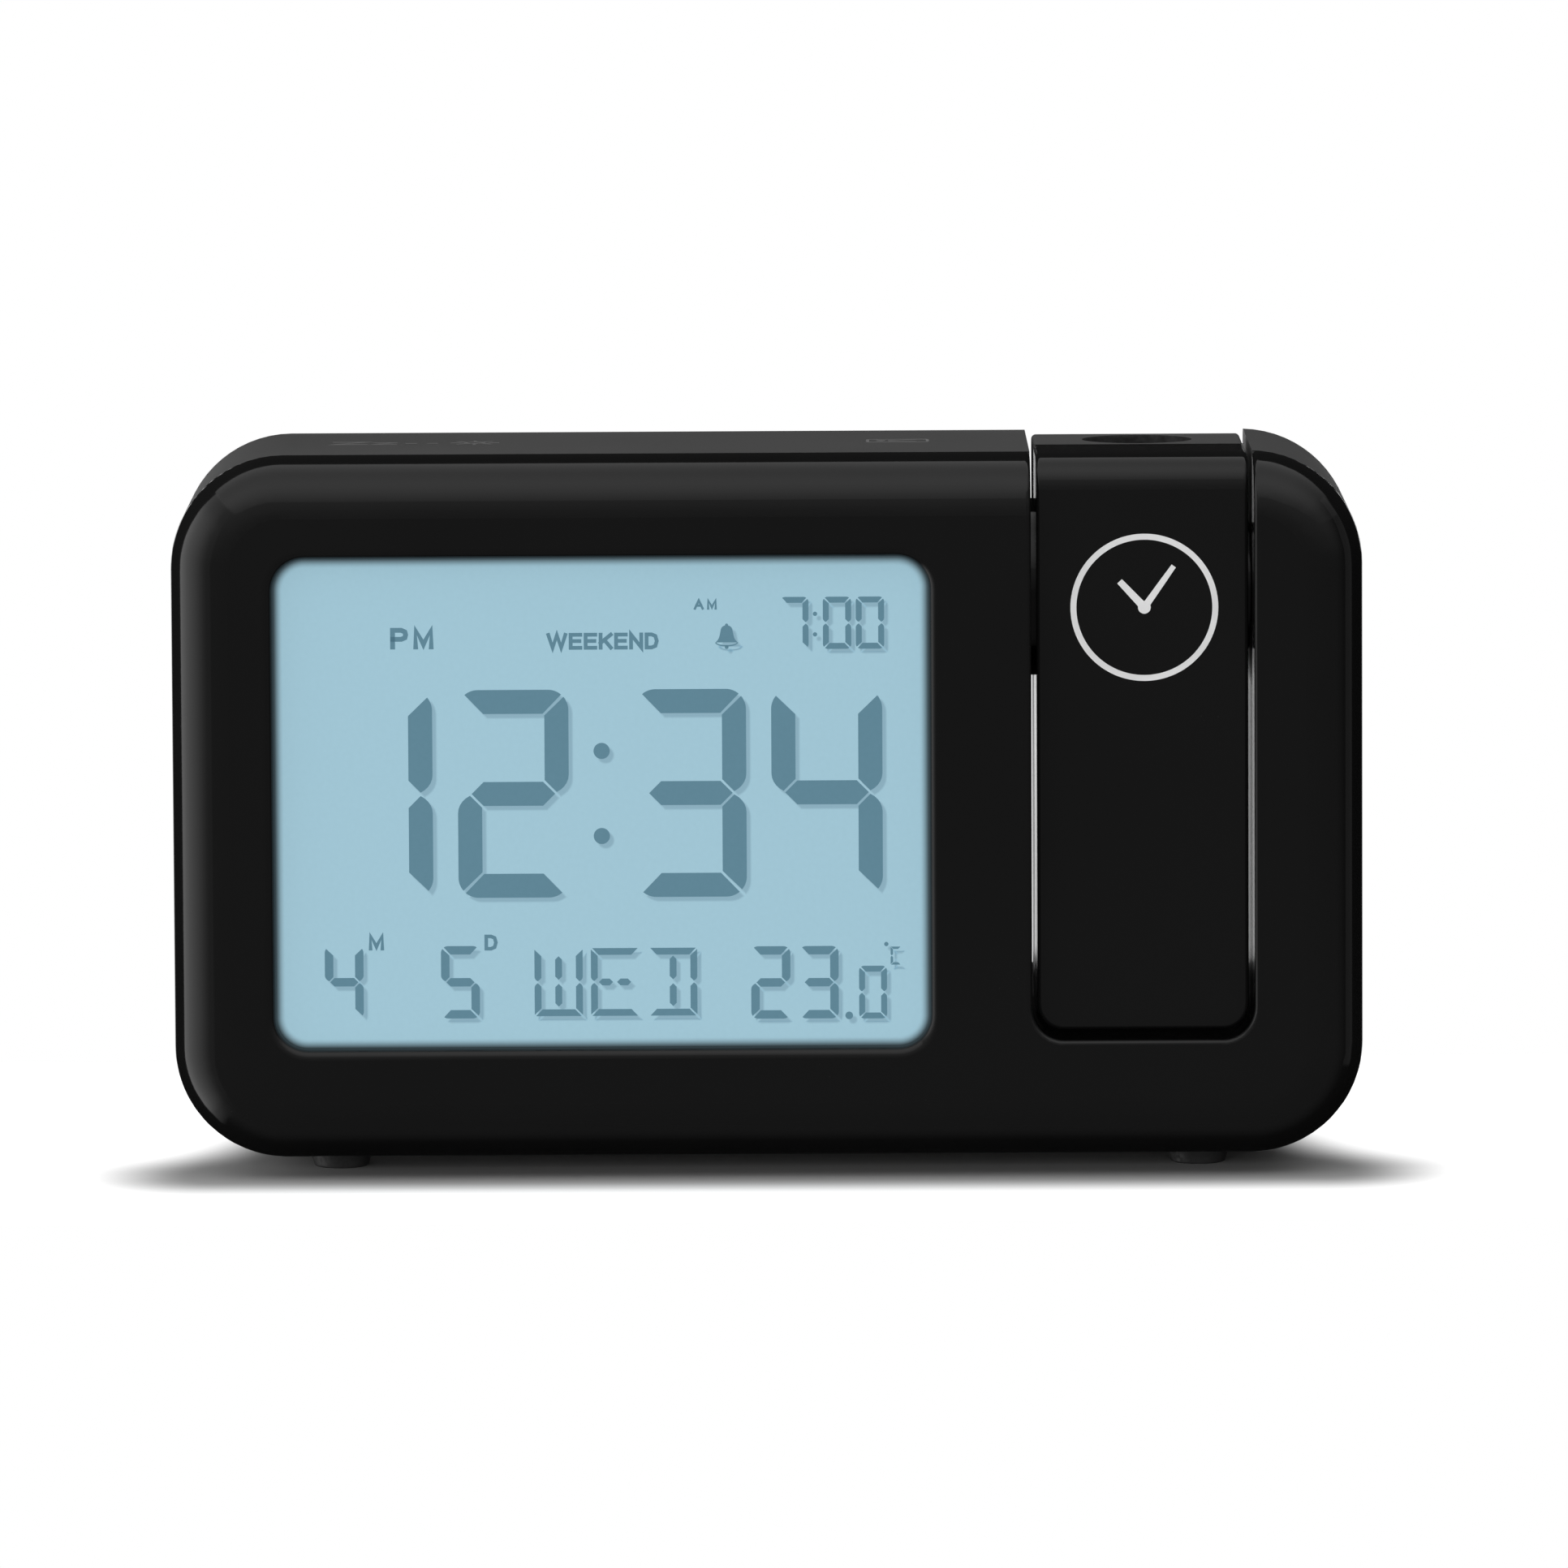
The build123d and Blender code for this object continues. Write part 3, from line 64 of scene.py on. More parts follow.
PRINT_PROUD = 0.02        # how far a printed mark stands off its surface
PRINT_SUNK = 0.01

# -------- looks
DISPLAY_GLOW = 0.63       # share of the display's colour that its backlight gives
DISPLAY_ABSORBS = 0.5     # share of the room's light that the display swallows
WALL_ROUGHNESS = 0.18     # of the side walls that face each other in the slot
# The grain of those walls comes in over these spans:
WALL_BAND = (0.03, 0.1)   # off the wall, in millimetres
WALL_RISE = (0.056, 0.068)      # up the wall, in metres
WALL_END = (0.0205, 0.021)      # towards the rear face, in metres
MOST = (0.3, 0.7)         # the range that holds most of a noise pattern
FALLING = (1.0, 0.0)
MOULDING_IOR = 1.45
POLISH_IOR = 1.3          # low, so that the polish and the display don't turn grey
BLACK = (0.0, 0.0, 0.0)
WHITE = (1.0, 1.0, 1.0, 1.0)

# -------- small helpers for materials


def feed(target, value):
    """Wires a socket to an input, or sets a plain value on it."""
    if isinstance(value, bpy.types.NodeSocket):
        target.id_data.links.new(value, target)
    else:
        target.default_value = value


def settings(node, **values):
    """Feeds a node's inputs by name, spaces written as underscores."""
    for key, value in values.items():
        feed(node.inputs[key.replace("_", " ")], value)


def new_material(name):
    """An empty node material with a Principled shader wired to its output."""
    material = bpy.data.materials.new(name)
    material.use_nodes = True
    tree = material.node_tree
    tree.nodes.clear()
    shader = tree.nodes.new("ShaderNodeBsdfPrincipled")
    settings(tree.nodes.new("ShaderNodeOutputMaterial"), Surface=shader.outputs[0])
    return material, tree, shader


def split(tree, vector):
    """The x, y and z sockets of a vector."""
    parts = tree.nodes.new("ShaderNodeSeparateXYZ")
    feed(parts.inputs[0], vector)
    return parts.outputs


def object_parts(tree):
    """The surface point's x, y and z in metres."""
    return split(tree, tree.nodes.new("ShaderNodeTexCoord").outputs["Object"])


def object_point(tree, scale=(1.0, 1.0, 1.0)):
    """The surface point in metres, stretched by a Mapping node."""
    place = tree.nodes.new("ShaderNodeTexCoord")
    mapping = tree.nodes.new("ShaderNodeMapping")
    settings(mapping, Vector=place.outputs["Object"], Scale=scale)
    return mapping.outputs[0]


def noise(tree, point, scale, detail=3.0, roughness=0.5):
    """A cloud pattern, its scale in features per metre."""
    node = tree.nodes.new("ShaderNodeTexNoise")
    settings(node, Vector=point, Scale=scale, Detail=detail, Roughness=roughness)
    return node.outputs["Fac"]


def cells(tree, point, scale, feature="F1"):
    """A pattern of round grains, its scale in features per metre."""
    node = tree.nodes.new("ShaderNodeTexVoronoi")
    node.feature = feature
    settings(node, Vector=point, Scale=scale)
    return node.outputs["Distance"]


def span(tree, value, source, target=(0.0, 1.0)):
    """Maps a value smoothly from one range to another, held at both ends."""
    node = tree.nodes.new("ShaderNodeMapRange")
    node.interpolation_type = "SMOOTHSTEP"
    settings(node, Value=value, From_Min=source[0], From_Max=source[1], To_Min=target[0], To_Max=target[1])
    return node.outputs[0]


def sums(tree, kind, first, second=0.0):
    """One arithmetic step on sockets or plain numbers."""
    node = tree.nodes.new("ShaderNodeMath")
    node.operation = kind
    feed(node.inputs[0], first)
    feed(node.inputs[1], second)
    return node.outputs[0]


def times(tree, first, second):
    """The product of two sockets or plain numbers."""
    return sums(tree, "MULTIPLY", first, second)


def largest(tree, first, *others):
    """The greatest of several sockets or plain numbers."""
    for other in others:
        first = sums(tree, "MAXIMUM", first, other)
    return first


def blend_colours(tree, factor, *colours):
    """Mixes two colours, each a plain colour or a socket."""
    node = tree.nodes.new("ShaderNodeMix")
    node.data_type = "RGBA"
    feed(node.inputs["Factor"], factor)
    for index, value in zip((6, 7), colours):       # the colour sockets A and B
        feed(node.inputs[index], (*value, 1.0) if isinstance(value, tuple) else value)
    return node.outputs[2]


def bump(tree, shader, height, strength, distance):
    """Raises the surface by a pattern. The distance is in metres."""
    node = tree.nodes.new("ShaderNodeBump")
    settings(node, Height=height, Strength=strength, Distance=distance)
    settings(shader, Normal=node.outputs[0])


def grey(level):
    """A neutral colour from its level on the screen, 0 to 255, by the sRGB curve."""
    value = level / 255.0
    linear = value / 12.92 if value <= 0.04045 else ((value + 0.055) / 1.055) ** 2.4
    return (linear, linear, linear)


def screen(red, green, blue):
    """A colour from its three levels on the screen, 0 to 255."""
    return tuple(grey(level)[0] for level in (red, green, blue))


# -------- finishes
FIELD_TONES = screen(158, 195, 210), screen(162, 199, 214)      # of the display
INK_TONES = screen(92, 130, 146), screen(96, 134, 151)
SHADE_TONE = screen(139, 174, 190)
# painted shade: the black the display falls to at the window's rim, where the rim shades it
RIM_SHADE_TONE = grey(20)
BOARD_TONES = (0.012, 0.07, 0.03), (0.03, 0.16, 0.07)           # the mask, bare and over a track
PLATED = (0.62, 0.6, 0.5)


def gloss_black(name, level, peel):
    """Polished black moulding: a mirror skin with faint orange peel, haze and a little fine dust."""
    material, tree, shader = new_material(name)
    point = object_point(tree)
    haze = noise(tree, point, 28.0, detail=4.0)
    dust = span(tree, cells(tree, point, 900.0), (0.03, 0.07), FALLING)
    patches = span(tree, noise(tree, point, 60.0, detail=2.0), (0.62, 0.72))
    specks = times(tree, dust, patches)
    deep = blend_colours(tree, haze, grey(level - 2), grey(level + 2))
    rough = span(tree, haze, MOST, (0.06, 0.1))
    bump(tree, shader, noise(tree, point, 420.0, detail=2.0), strength=0.05, distance=peel)
    settings(shader, IOR=POLISH_IOR,
             Base_Color=blend_colours(tree, times(tree, specks, 0.12), deep, grey(120)),
             Roughness=sums(tree, "ADD", rough, times(tree, specks, 0.3)))
    return material


def grain_share(tree, wall):
    """None on the side walls that stand this far from the slot's middle, and full elsewhere.

    Above the walls' lower part, and on the rear face, the grain comes back.
    """
    x, y, z = object_parts(tree)
    across = sums(tree, "SUBTRACT", times(tree, x, 1.0 / MM), SLOT_X)
    off_wall = sums(tree, "ABSOLUTE", sums(tree, "SUBTRACT", sums(tree, "ABSOLUTE", across), wall))
    return largest(tree, span(tree, off_wall, WALL_BAND), span(tree, z, WALL_RISE), span(tree, y, WALL_END))


def satin_black(name, level, grain, rough_low, rough_high, relief, wall=None):
    """Moulded black plastic with a fine spark-eroded grain and slight changes of sheen.

    A wall is the distance from the slot's middle, in millimetres, at which a side wall stands, where
    the grain ends and the surface is smooth.
    """
    material, tree, shader = new_material(name)
    point = object_point(tree)
    cloud = noise(tree, point, 35.0, detail=4.0)
    fine = noise(tree, point, grain, detail=4.0, roughness=0.65)
    pits = cells(tree, point, grain * 0.6, "SMOOTH_F1")
    tone = blend_colours(tree, cloud, grey(level - 3), grey(level + 4))
    peaks = span(tree, fine, (0.35, 0.7), (0.0, 0.25))
    sheen = span(tree, cloud, MOST, (rough_low, rough_high))
    height = sums(tree, "ADD", fine, pits)
    if wall:
        grained = grain_share(tree, wall)
        sheen = sums(tree, "MAXIMUM", times(tree, sheen, grained), WALL_ROUGHNESS)
        height = times(tree, height, grained)
    bump(tree, shader, height, strength=0.35, distance=relief)
    settings(shader, IOR=MOULDING_IOR, Roughness=sheen,
             Base_Color=blend_colours(tree, peaks, tone, grey(level + 16)))
    return material


def moulded(name, low, high, grain, rough, relief):
    """A coloured moulding or coating: two near tones in clouds, a fine grain and uneven sheen."""
    material, tree, shader = new_material(name)
    point = object_point(tree)
    cloud = noise(tree, point, grain / 12.0, detail=4.0)
    fine = noise(tree, point, grain, roughness=0.6)
    bump(tree, shader, fine, strength=0.3, distance=relief)
    settings(shader, IOR=MOULDING_IOR, Base_Color=blend_colours(tree, span(tree, cloud, MOST), low, high),
             Roughness=span(tree, fine, MOST, (rough * 0.85, rough * 1.15)))
    return material


def drawn_metal(name, low, high, rough, stretch):
    """Metal with fine drawing lines: clouds squeezed across one direction, and dull spots."""
    material, tree, shader = new_material(name)
    lines = noise(tree, object_point(tree, stretch), 900.0, detail=4.0, roughness=0.7)
    spots = noise(tree, object_point(tree), 220.0)
    worn = span(tree, spots, (0.45, 0.75), (0.0, 0.15))
    sheen = span(tree, lines, (0.2, 0.8), (rough * 0.7, rough * 1.3))
    bump(tree, shader, lines, strength=0.25, distance=4e-6)
    settings(shader, Metallic=1.0, Base_Color=blend_colours(tree, lines, low, high),
             Roughness=sums(tree, "ADD", sheen, worn))
    return material


def clear_glass(name, tint, rough):
    """Clear optical glass with a faint coating and wipe marks that show in its sheen."""
    material, tree, shader = new_material(name)
    tints = noise(tree, object_point(tree), 90.0)
    wipes = noise(tree, object_point(tree, (1.0, 6.0, 1.0)), 160.0)
    settings(shader, IOR=1.5, Transmission_Weight=1.0, Coat_Weight=0.4, Coat_Roughness=0.02,
             Base_Color=blend_colours(tree, tints, tint, tuple(0.5 + part / 2 for part in tint)),
             Roughness=span(tree, wipes, (0.4, 0.8), (rough, rough + 0.06)))
    return material


def circuit_board(name):
    """Green solder mask over copper tracks that run square to each other, with plated dots."""
    material, tree, shader = new_material(name)
    along, across = [sums(tree, "PINGPONG", noise(tree, object_point(tree, scale), 9.0, detail=0.0), 0.05)
                     for scale in ((40.0, 1.0, 1.0), (1.0, 1.0, 40.0))]
    tracks = span(tree, sums(tree, "MINIMUM", along, across), (0.012, 0.02), FALLING)
    dots = span(tree, cells(tree, object_point(tree), 260.0), (0.12, 0.16), FALLING)
    mask = blend_colours(tree, tracks, *BOARD_TONES)
    bump(tree, shader, sums(tree, "MAXIMUM", tracks, dots), strength=0.4, distance=3e-5)
    settings(shader, Base_Color=blend_colours(tree, dots, mask, PLATED),
             Roughness=span(tree, dots, (0.0, 1.0), (0.42, 0.3)),
             Metallic=span(tree, dots, (0.0, 1.0), (0.0, 0.9)))
    return material


def lit_from_behind(tree, shader, colour, cloud):
    """Shows a colour partly by the backlight and partly, darkened, by the room's light on the glass."""
    settings(shader, IOR=POLISH_IOR, Emission_Strength=DISPLAY_GLOW, Emission_Color=colour,
             Base_Color=blend_colours(tree, DISPLAY_ABSORBS, colour, BLACK),
             Roughness=span(tree, cloud, MOST, (0.3, 0.36)))


def window_depth(tree):
    """How far a point on the display lies inside the window's rounded edge, in millimetres.

    The distance to a rounded rectangle: the sides' distances in x and z, joined at the corners by
    Pythagoras, less the corner's radius, with its sign turned round.
    """
    x, _, z = object_parts(tree)
    beyond = []
    for socket, centre, half in zip((x, z), WINDOW_CENTRE, WINDOW_HALF):
        away = sums(tree, "ABSOLUTE", sums(tree, "SUBTRACT", times(tree, socket, 1.0 / MM), centre))
        beyond.append(sums(tree, "SUBTRACT", away, half - WINDOW_RADIUS))
    outer = [sums(tree, "MAXIMUM", value, 0.0) for value in beyond]
    squares = [times(tree, value, value) for value in outer]
    corner = sums(tree, "SQRT", sums(tree, "ADD", *squares))
    inner = sums(tree, "MINIMUM", sums(tree, "MAXIMUM", *beyond), 0.0)
    return sums(tree, "SUBTRACT", WINDOW_RADIUS, sums(tree, "ADD", corner, inner))


def crystal_cloud(tree):
    """The faint cloud that the display's field and its figures share."""
    return noise(tree, object_point(tree), 1500.0, detail=2.0)


def liquid_crystal(name, shade_attribute=None):
    """The lit display: pale blue, clouded very slightly, falling to black at the window's rim in a soft band
    of painted shade.
    """
    material, tree, shader = new_material(name)
    cloud = crystal_cloud(tree)
    field = blend_colours(tree, cloud, *FIELD_TONES)
    if shade_attribute:
        shade = tree.nodes.new("ShaderNodeAttribute")
        shade.attribute_name = shade_attribute
        field = blend_colours(tree, shade.outputs["Fac"], field, SHADE_TONE)
    # Painted shade: the field darkens to black towards the window's rim, standing in for the rim's shadow on
    # the recessed display.
    edge = span(tree, window_depth(tree), WINDOW_SHADE)
    lit_from_behind(tree, shader, blend_colours(tree, edge, RIM_SHADE_TONE, field), cloud)
    return material


def crystal_ink(name):
    """A dark figure of the display: slate blue with the same faint cloud."""
    material, tree, shader = new_material(name)
    cloud = crystal_cloud(tree)
    lit_from_behind(tree, shader, blend_colours(tree, cloud, *INK_TONES), cloud)
    return material


# Each finish's maker and rows. A row is the slot and the material's name, and then:
FINISH_TABLE = (
    # the level on the screen, and the orange peel's height in metres
    (gloss_black, (
        ("front_gloss", "polished_front", 18, 1.5e-5),
        ("arm_gloss", "polished_arm", 19, 4e-6),
    )),
    # the level, the grains per metre, the least and greatest roughness, the relief in metres, the wall
    (satin_black, (
        ("rear_satin", "satin_rear", 70, 2600.0, 0.45, 0.48, 1.2e-5, SLOT_HALF),
        ("door_satin", "satin_door", 68, 2300.0, 0.46, 0.5, 1.4e-5),
        ("arm_satin", "satin_arm", 73, 2600.0, 0.45, 0.48, 1.2e-5, ARM_HALF),
        ("hub_plastic", "smooth_hub", 24, 900.0, 0.25, 0.35, 4e-6),
        ("button_plastic", "fine_button", 36, 3200.0, 0.38, 0.46, 6e-6),
        ("wheel_plastic", "fine_wheel", 34, 3200.0, 0.4, 0.48, 6e-6),
        ("socket_black", "socket_moulding", 22, 1500.0, 0.35, 0.45, 6e-6),
        ("optics_black", "optics_moulding", 14, 1800.0, 0.6, 0.75, 1e-5),
        ("barrel_black", "barrel_moulding", 18, 1800.0, 0.35, 0.45, 5e-6),
    )),
    # two tones, the grains per metre, the roughness, the relief in metres
    (moulded, (
        ("chip_epoxy", "cast_epoxy", grey(22), grey(34), 1400.0, 0.4, 8e-6),
        ("foot_rubber", "foot_rubber", grey(30), grey(42), 1900.0, 0.62, 1.6e-5),
        ("wire_black", "wire_sleeve", grey(24), grey(32), 700.0, 0.45, 6e-6),
        ("contact_rubber", "contact_strip", grey(130), grey(60), 2400.0, 0.6, 1e-5),
        ("white_plastic", "white_moulding", grey(222), grey(232), 900.0, 0.42, 6e-6),
        ("connector_white", "nylon", (0.72, 0.68, 0.58), (0.8, 0.77, 0.68), 900.0, 0.45, 6e-6),
        ("led_white", "light_dome", (0.8, 0.74, 0.42), (0.88, 0.84, 0.62), 1600.0, 0.3, 5e-6),
        ("cell_wrap", "cell_wrap", grey(64), grey(76), 500.0, 0.32, 4e-6),
    )),
    # the tint and the least roughness
    (clear_glass, (
        ("clear_acrylic", "light_acrylic", (0.86, 0.93, 0.97), 0.05),
        ("rear_glass", "display_rear_glass", (0.7, 0.82, 0.88), 0.02),
        ("lens_glass", "lens_glass", (0.9, 0.95, 0.97), 0.01),
        ("film_glass", "film_glass", (0.3, 0.34, 0.38), 0.05),
    )),
    # two tones, the roughness, and how much finer the lines are in x, y and z
    (drawn_metal, (
        ("bright_metal", "plated_can", grey(190), grey(215), 0.2, (1.0, 1.0, 6.0)),
        ("spring_steel", "spring_steel", grey(165), grey(200), 0.25, (1.0, 1.0, 8.0)),
        ("screw_steel", "zinc_screw", grey(150), grey(185), 0.32, (1.0, 5.0, 1.0)),
        ("sink_aluminium", "sink_aluminium", grey(180), grey(205), 0.35, (8.0, 1.0, 1.0)),
        ("brass_disc", "brass_disc", (0.3, 0.2, 0.08), (0.38, 0.26, 0.11), 0.5, (1.0, 1.0, 5.0)),
        ("copper_foil", "copper_foil", (0.68, 0.33, 0.2), (0.8, 0.44, 0.3), 0.28, (6.0, 1.0, 1.0)),
    )),
    (circuit_board, (("board_green", "circuit_board"),)),
    (liquid_crystal, (("display_glass", "liquid_crystal"),)),
)
FINISHES = {slot: make(*values) for make, rows in FINISH_TABLE for slot, *values in rows}
for row in frame["record"]["subparts"]:
    for held in frame["nodes"][row["node"]].material_slots:
        held.material = FINISHES[row["material_slot"]]

INK = crystal_ink("crystal_figure")
SHADE = liquid_crystal("crystal_shadow", "shade")
# Near black, for painted shade: the shadow in the joints' steps and in the lens port's recess.
PAINTED_SHADE = moulded("painted_shade_black", grey(2), grey(5), 900.0, 0.8, 4e-6)
WHITE_PRINT = moulded("white_print", grey(240), grey(250), 2600.0, 0.45, 3e-6)
GREY_PRINT = moulded("grey_print", grey(104), grey(116), 2600.0, 0.5, 4e-6)

# -------- flat outlines
TINY = 1e-9
SHARPEST_GROWN = 0.5      # the least divisor of a mitre, which keeps sharp corners short


def arc(centre_u, centre_v, radius, start, end, steps=9):
    """Points on a circle: the centre plus the radius times the cosine and sine of the angle."""
    angle = np.radians(np.linspace(start, end, steps))
    return np.stack([centre_u + radius * np.cos(angle), centre_v + radius * np.sin(angle)], 1)


def anticlockwise(outline):
    """Turns an outline round where its shoelace area is negative."""
    outline = np.asarray(outline, float)
    u, v = outline.T
    area = np.sum(u * np.roll(v, -1) - v * np.roll(u, -1))
    return outline if area > 0 else outline[::-1]


def unit(vectors):
    """Each vector over its own length, which is held above nothing."""
    return vectors / np.maximum(np.linalg.norm(vectors, axis=-1, keepdims=True), TINY)


def turned(vectors):
    """Flat vectors turned a quarter anticlockwise: (u, v) to (-v, u)."""
    return np.stack([-vectors[..., 1], vectors[..., 0]], -1)


def grown(outline, amount):
    """Moves each corner along the mean of its two sides' outward normals, longer at sharp corners."""
    after = -turned(unit(np.roll(outline, -1, 0) - outline))
    before = np.roll(after, 1, 0)
    spread = np.maximum(1.0 + np.sum(after * before, 1, keepdims=True), SHARPEST_GROWN)
    return outline + amount * (after + before) / spread


WAIST_LEAN = 60.0         # degrees of arc in the curve at a side bar's waist
WAIST_DROP = 0.8          # how far above the waist the curve starts, in strokes


def digit_bars(width, height, stroke, gap, corner):
    """The seven bars of a figure, v running down from its top left corner.

    A ring of one stroke's width is cut along its corners' diagonals and at its waist. The outer
    corners are quarter circles, and each bar's waist is a curve that leans to the bar's middle.
    """
    half, middle, drop = stroke / 2, height / 2, WAIST_DROP * stroke
    turn = math.degrees(gap / corner)
    lean = np.radians(np.linspace(0.0, WAIST_LEAN, 6))
    waist = np.stack([
        half * (1 - np.cos(lean)) / (1 - np.cos(lean[-1])),
        middle - drop + (drop - gap) * np.sin(lean) / np.sin(lean[-1]),
    ], 1)
    start = arc(corner, corner, corner, 225 + turn, 270)
    near, far = stroke + gap, width - stroke - gap
    top = np.vstack([start, (start * (-1, 1) + (width, 0))[::-1], [(far, stroke), (near, stroke)]])
    side = np.vstack([arc(corner, corner, corner, 225 - turn, 180), waist,
                      [(stroke, middle - half - gap), (stroke, stroke + gap)]])
    cross = np.array([(half + gap, middle), (near, middle - half), (far, middle - half),
                      (width - half - gap, middle), (far, middle + half), (near, middle + half)])
    across, down = (-1, 1), (1, -1)
    return {
        "a": top, "f": side, "g": cross,
        "b": side * across + (width, 0),
        "e": side * down + (0, height),
        "c": side * (-1, -1) + (width, height),
        "d": top * down + (0, height),
    }


# The lit bars of each sign. The lozenges of "W", "E" and "D" are added by the display.
LIT = {"0": "abcdef", "1": "bc", "2": "abged", "3": "abgcd", "4": "fgbc", "5": "afgcd", "7": "abc",
       "C": "afed", "W": "febcd", "E": "afed", "D": "abcd"}


def figure(sign, left, top, style):
    """The lit bars of one figure, set with its top left corner on the display."""
    bars = digit_bars(*style)
    return [anticlockwise(bars[key] * (1, -1) + (left, top)) for key in LIT[sign]]


def lozenge(left, top, right, bottom):
    """A straight bar with a point at each end of its longer side."""
    half = min(right - left, top - bottom) / 2
    if right - left > top - bottom:
        middle = (top + bottom) / 2
        corners = [(left, middle), (left + half, bottom), (right - half, bottom), (right, middle),
                   (right - half, top), (left + half, top)]
    else:
        middle = (left + right) / 2
        corners = [(middle, bottom), (right, bottom + half), (right, top - half), (middle, top),
                   (left, top - half), (left, bottom + half)]
    return anticlockwise(corners)


def disc(centre_u, centre_v, radius, steps=40):
    """A round dot."""
    return arc(centre_u, centre_v, radius, 0, 360, steps + 1)[:-1]


BELL_PROFILE = np.array([       # how far down from the crown, and the half width there
    (0.0, 0.04), (0.02, 0.1), (0.06, 0.14), (0.1, 0.15), (0.13, 0.3), (0.2, 0.45), (0.3, 0.53),
    (0.45, 0.58), (0.6, 0.63), (0.75, 0.7), (0.86, 0.8), (0.94, 0.93), (1.0, 1.0)])


def bell(centre_u, low, width, height):
    """A bell's outline: a round crown on a dome whose sides run straight out to a flared rim.

    The half width grows from crown to rim as the profile says, in shares of the width and height.
    """
    drop, side = BELL_PROFILE.T
    right = np.stack([side * width / 2, low + height * (1.0 - drop)], 1)
    return anticlockwise(np.vstack([right, (right * (-1, 1))[::-1]]) + (centre_u, 0.0))


def bell_rim(centre_u, high, width, drop, stroke):
    """The front of a bell's mouth: a shallow half ellipse of one stroke's width."""
    lower_half = arc(0.0, 0.0, 1.0, 180, 360, 17)
    outer, inner = [lower_half * (width / 2 - less, drop - less) + (centre_u, high) for less in (0.0, stroke)]
    return anticlockwise(np.vstack([outer, inner[::-1]]))


# -------- meshes from outlines

# A plane has the directions of u, of v and out of its surface, and its height along the last.
FRONT = (np.array([(1.0, 0, 0), (0, 0, 1), (0, -1, 0)]), -FACE_Y)
TOP = (np.array([(1.0, 0, 0), (0, 1, 0), (0, 0, 1)]), TOP_Z)
REAR = (np.array([(-1.0, 0, 0), (0, 0, 1), (0, 1, 0)]), REAR_Y)


def lay(outline, plane, step):
    """Sets flat points a step off a plane: u, v and the height, each times its own direction."""
    (across, up, out), height = plane
    outline = np.asarray(outline, float)
    return outline[:, :1] * across + outline[:, 1:2] * up + (height + step) * out


def new_object(name, data):
    """An object with this data, linked to the scene."""
    item = bpy.data.objects.new(name, data)
    bpy.context.scene.collection.objects.link(item)
    return item


def add_piece(name, points, faces, material, body, slot):
    """Makes a mesh piece from points in millimetres, gives it its finish and lets it ride."""
    mesh = bpy.data.meshes.new(name)
    mesh.from_pydata((np.asarray(points) * MM).tolist(), [], faces)
    mesh.materials.append(material)
    shell = bmesh.new()
    shell.from_mesh(mesh)
    bmesh.ops.recalc_face_normals(shell, faces=shell.faces)
    shell.to_mesh(mesh)
    shell.free()
    piece = new_object(name, mesh)
    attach(piece, body)
    return piece


def stacked(rings, closed=False):
    """Quads from each ring of points to the next. The last ring joins the first, or both get a cap."""
    count, levels = len(rings[0]), len(rings)
    here = np.arange(count)
    there = (here + 1) % count
    faces = []
    for level in range(levels if closed else levels - 1):
        low, high = level * count, (level + 1) % levels * count
        faces += np.stack([low + here, low + there, high + there, high + here], 1).tolist()
    if not closed:
        faces += [((levels - 1) * count + here).tolist(), here[::-1].tolist()]
    return np.vstack(rings), faces


def join(*parts):
    """Joins several point and face lists into one."""
    points, faces, base = [], [], 0
    for some_points, some_faces in parts:
        points.append(some_points)
        faces += [[index + base for index in face] for face in some_faces]
        base += len(some_points)
    return np.vstack(points), faces


def plates(outlines, plane, proud=PRINT_PROUD):
    """Thin plates: each outline at the sunk level and at the proud level, joined round its edge."""
    return join(*(stacked([lay(outline, plane, -PRINT_SUNK), lay(outline, plane, proud)])
                  for outline in outlines))


def frames(pairs, plane):
    """Thin rings: an outer and an inner outline of as many points, at both levels, joined all round."""
    low, high = -PRINT_SUNK, PRINT_PROUD
    return join(*(stacked([lay(outer, plane, low), lay(outer, plane, high), lay(inner, plane, high),
                           lay(inner, plane, low)], closed=True) for outer, inner in pairs))


def soft_plates(outlines, plane, spread, proud):
    """Thin plates whose rim fades: a full-strength outline inside and a zero-strength one outside it."""
    parts, strength = [], []
    for outline in outlines:
        wide = grown(outline, spread)
        parts.append(stacked([lay(wide, plane, -PRINT_SUNK), lay(wide, plane, proud),
                              lay(grown(outline, -spread), plane, proud)]))
        strength += [np.zeros(2 * len(outline)), np.ones(len(outline))]
    return *join(*parts), np.concatenate(strength)


GLYPHS = {      # strokes of each capital, each as x and z in turn, on a box of 100 by 100
    "A": "0 0 50 100 100 0 | 19 36 81 36",
    "C": "100 74 86 93 52 100 16 90 0 50 16 10 52 0 86 7 100 26",
    "D": "0 0 0 100 50 100 86 88 100 50 86 12 50 0 0 0",
    "E": "100 100 0 100 0 0 100 0 | 0 52 90 52",
    "F": "100 100 0 100 0 0 | 0 50 85 50",
    "I": "50 0 50 100",
    "K": "0 0 0 100 | 100 100 0 36 | 36 60 100 0",
    "M": "0 0 0 100 50 12 100 100 100 0",
    "N": "0 0 0 100 100 0 100 100",
    "O": "50 100 13 88 0 50 13 12 50 0 87 12 100 50 87 88 50 100",
    "P": "0 0 0 100 66 100 94 90 100 73 94 55 66 46 0 46",
    "V": "0 100 50 0 100 100",
    "W": "0 100 25 0 50 100 75 0 100 100",
    "5": "92 100 14 100 6 52 50 64 90 52 100 30 86 6 50 0 12 6 0 22",
    " ": "",
}
GLYPH_BOX = 100
STROKE_STEP = 0.004       # a letter's later strokes stand this much higher, so that no two faces meet
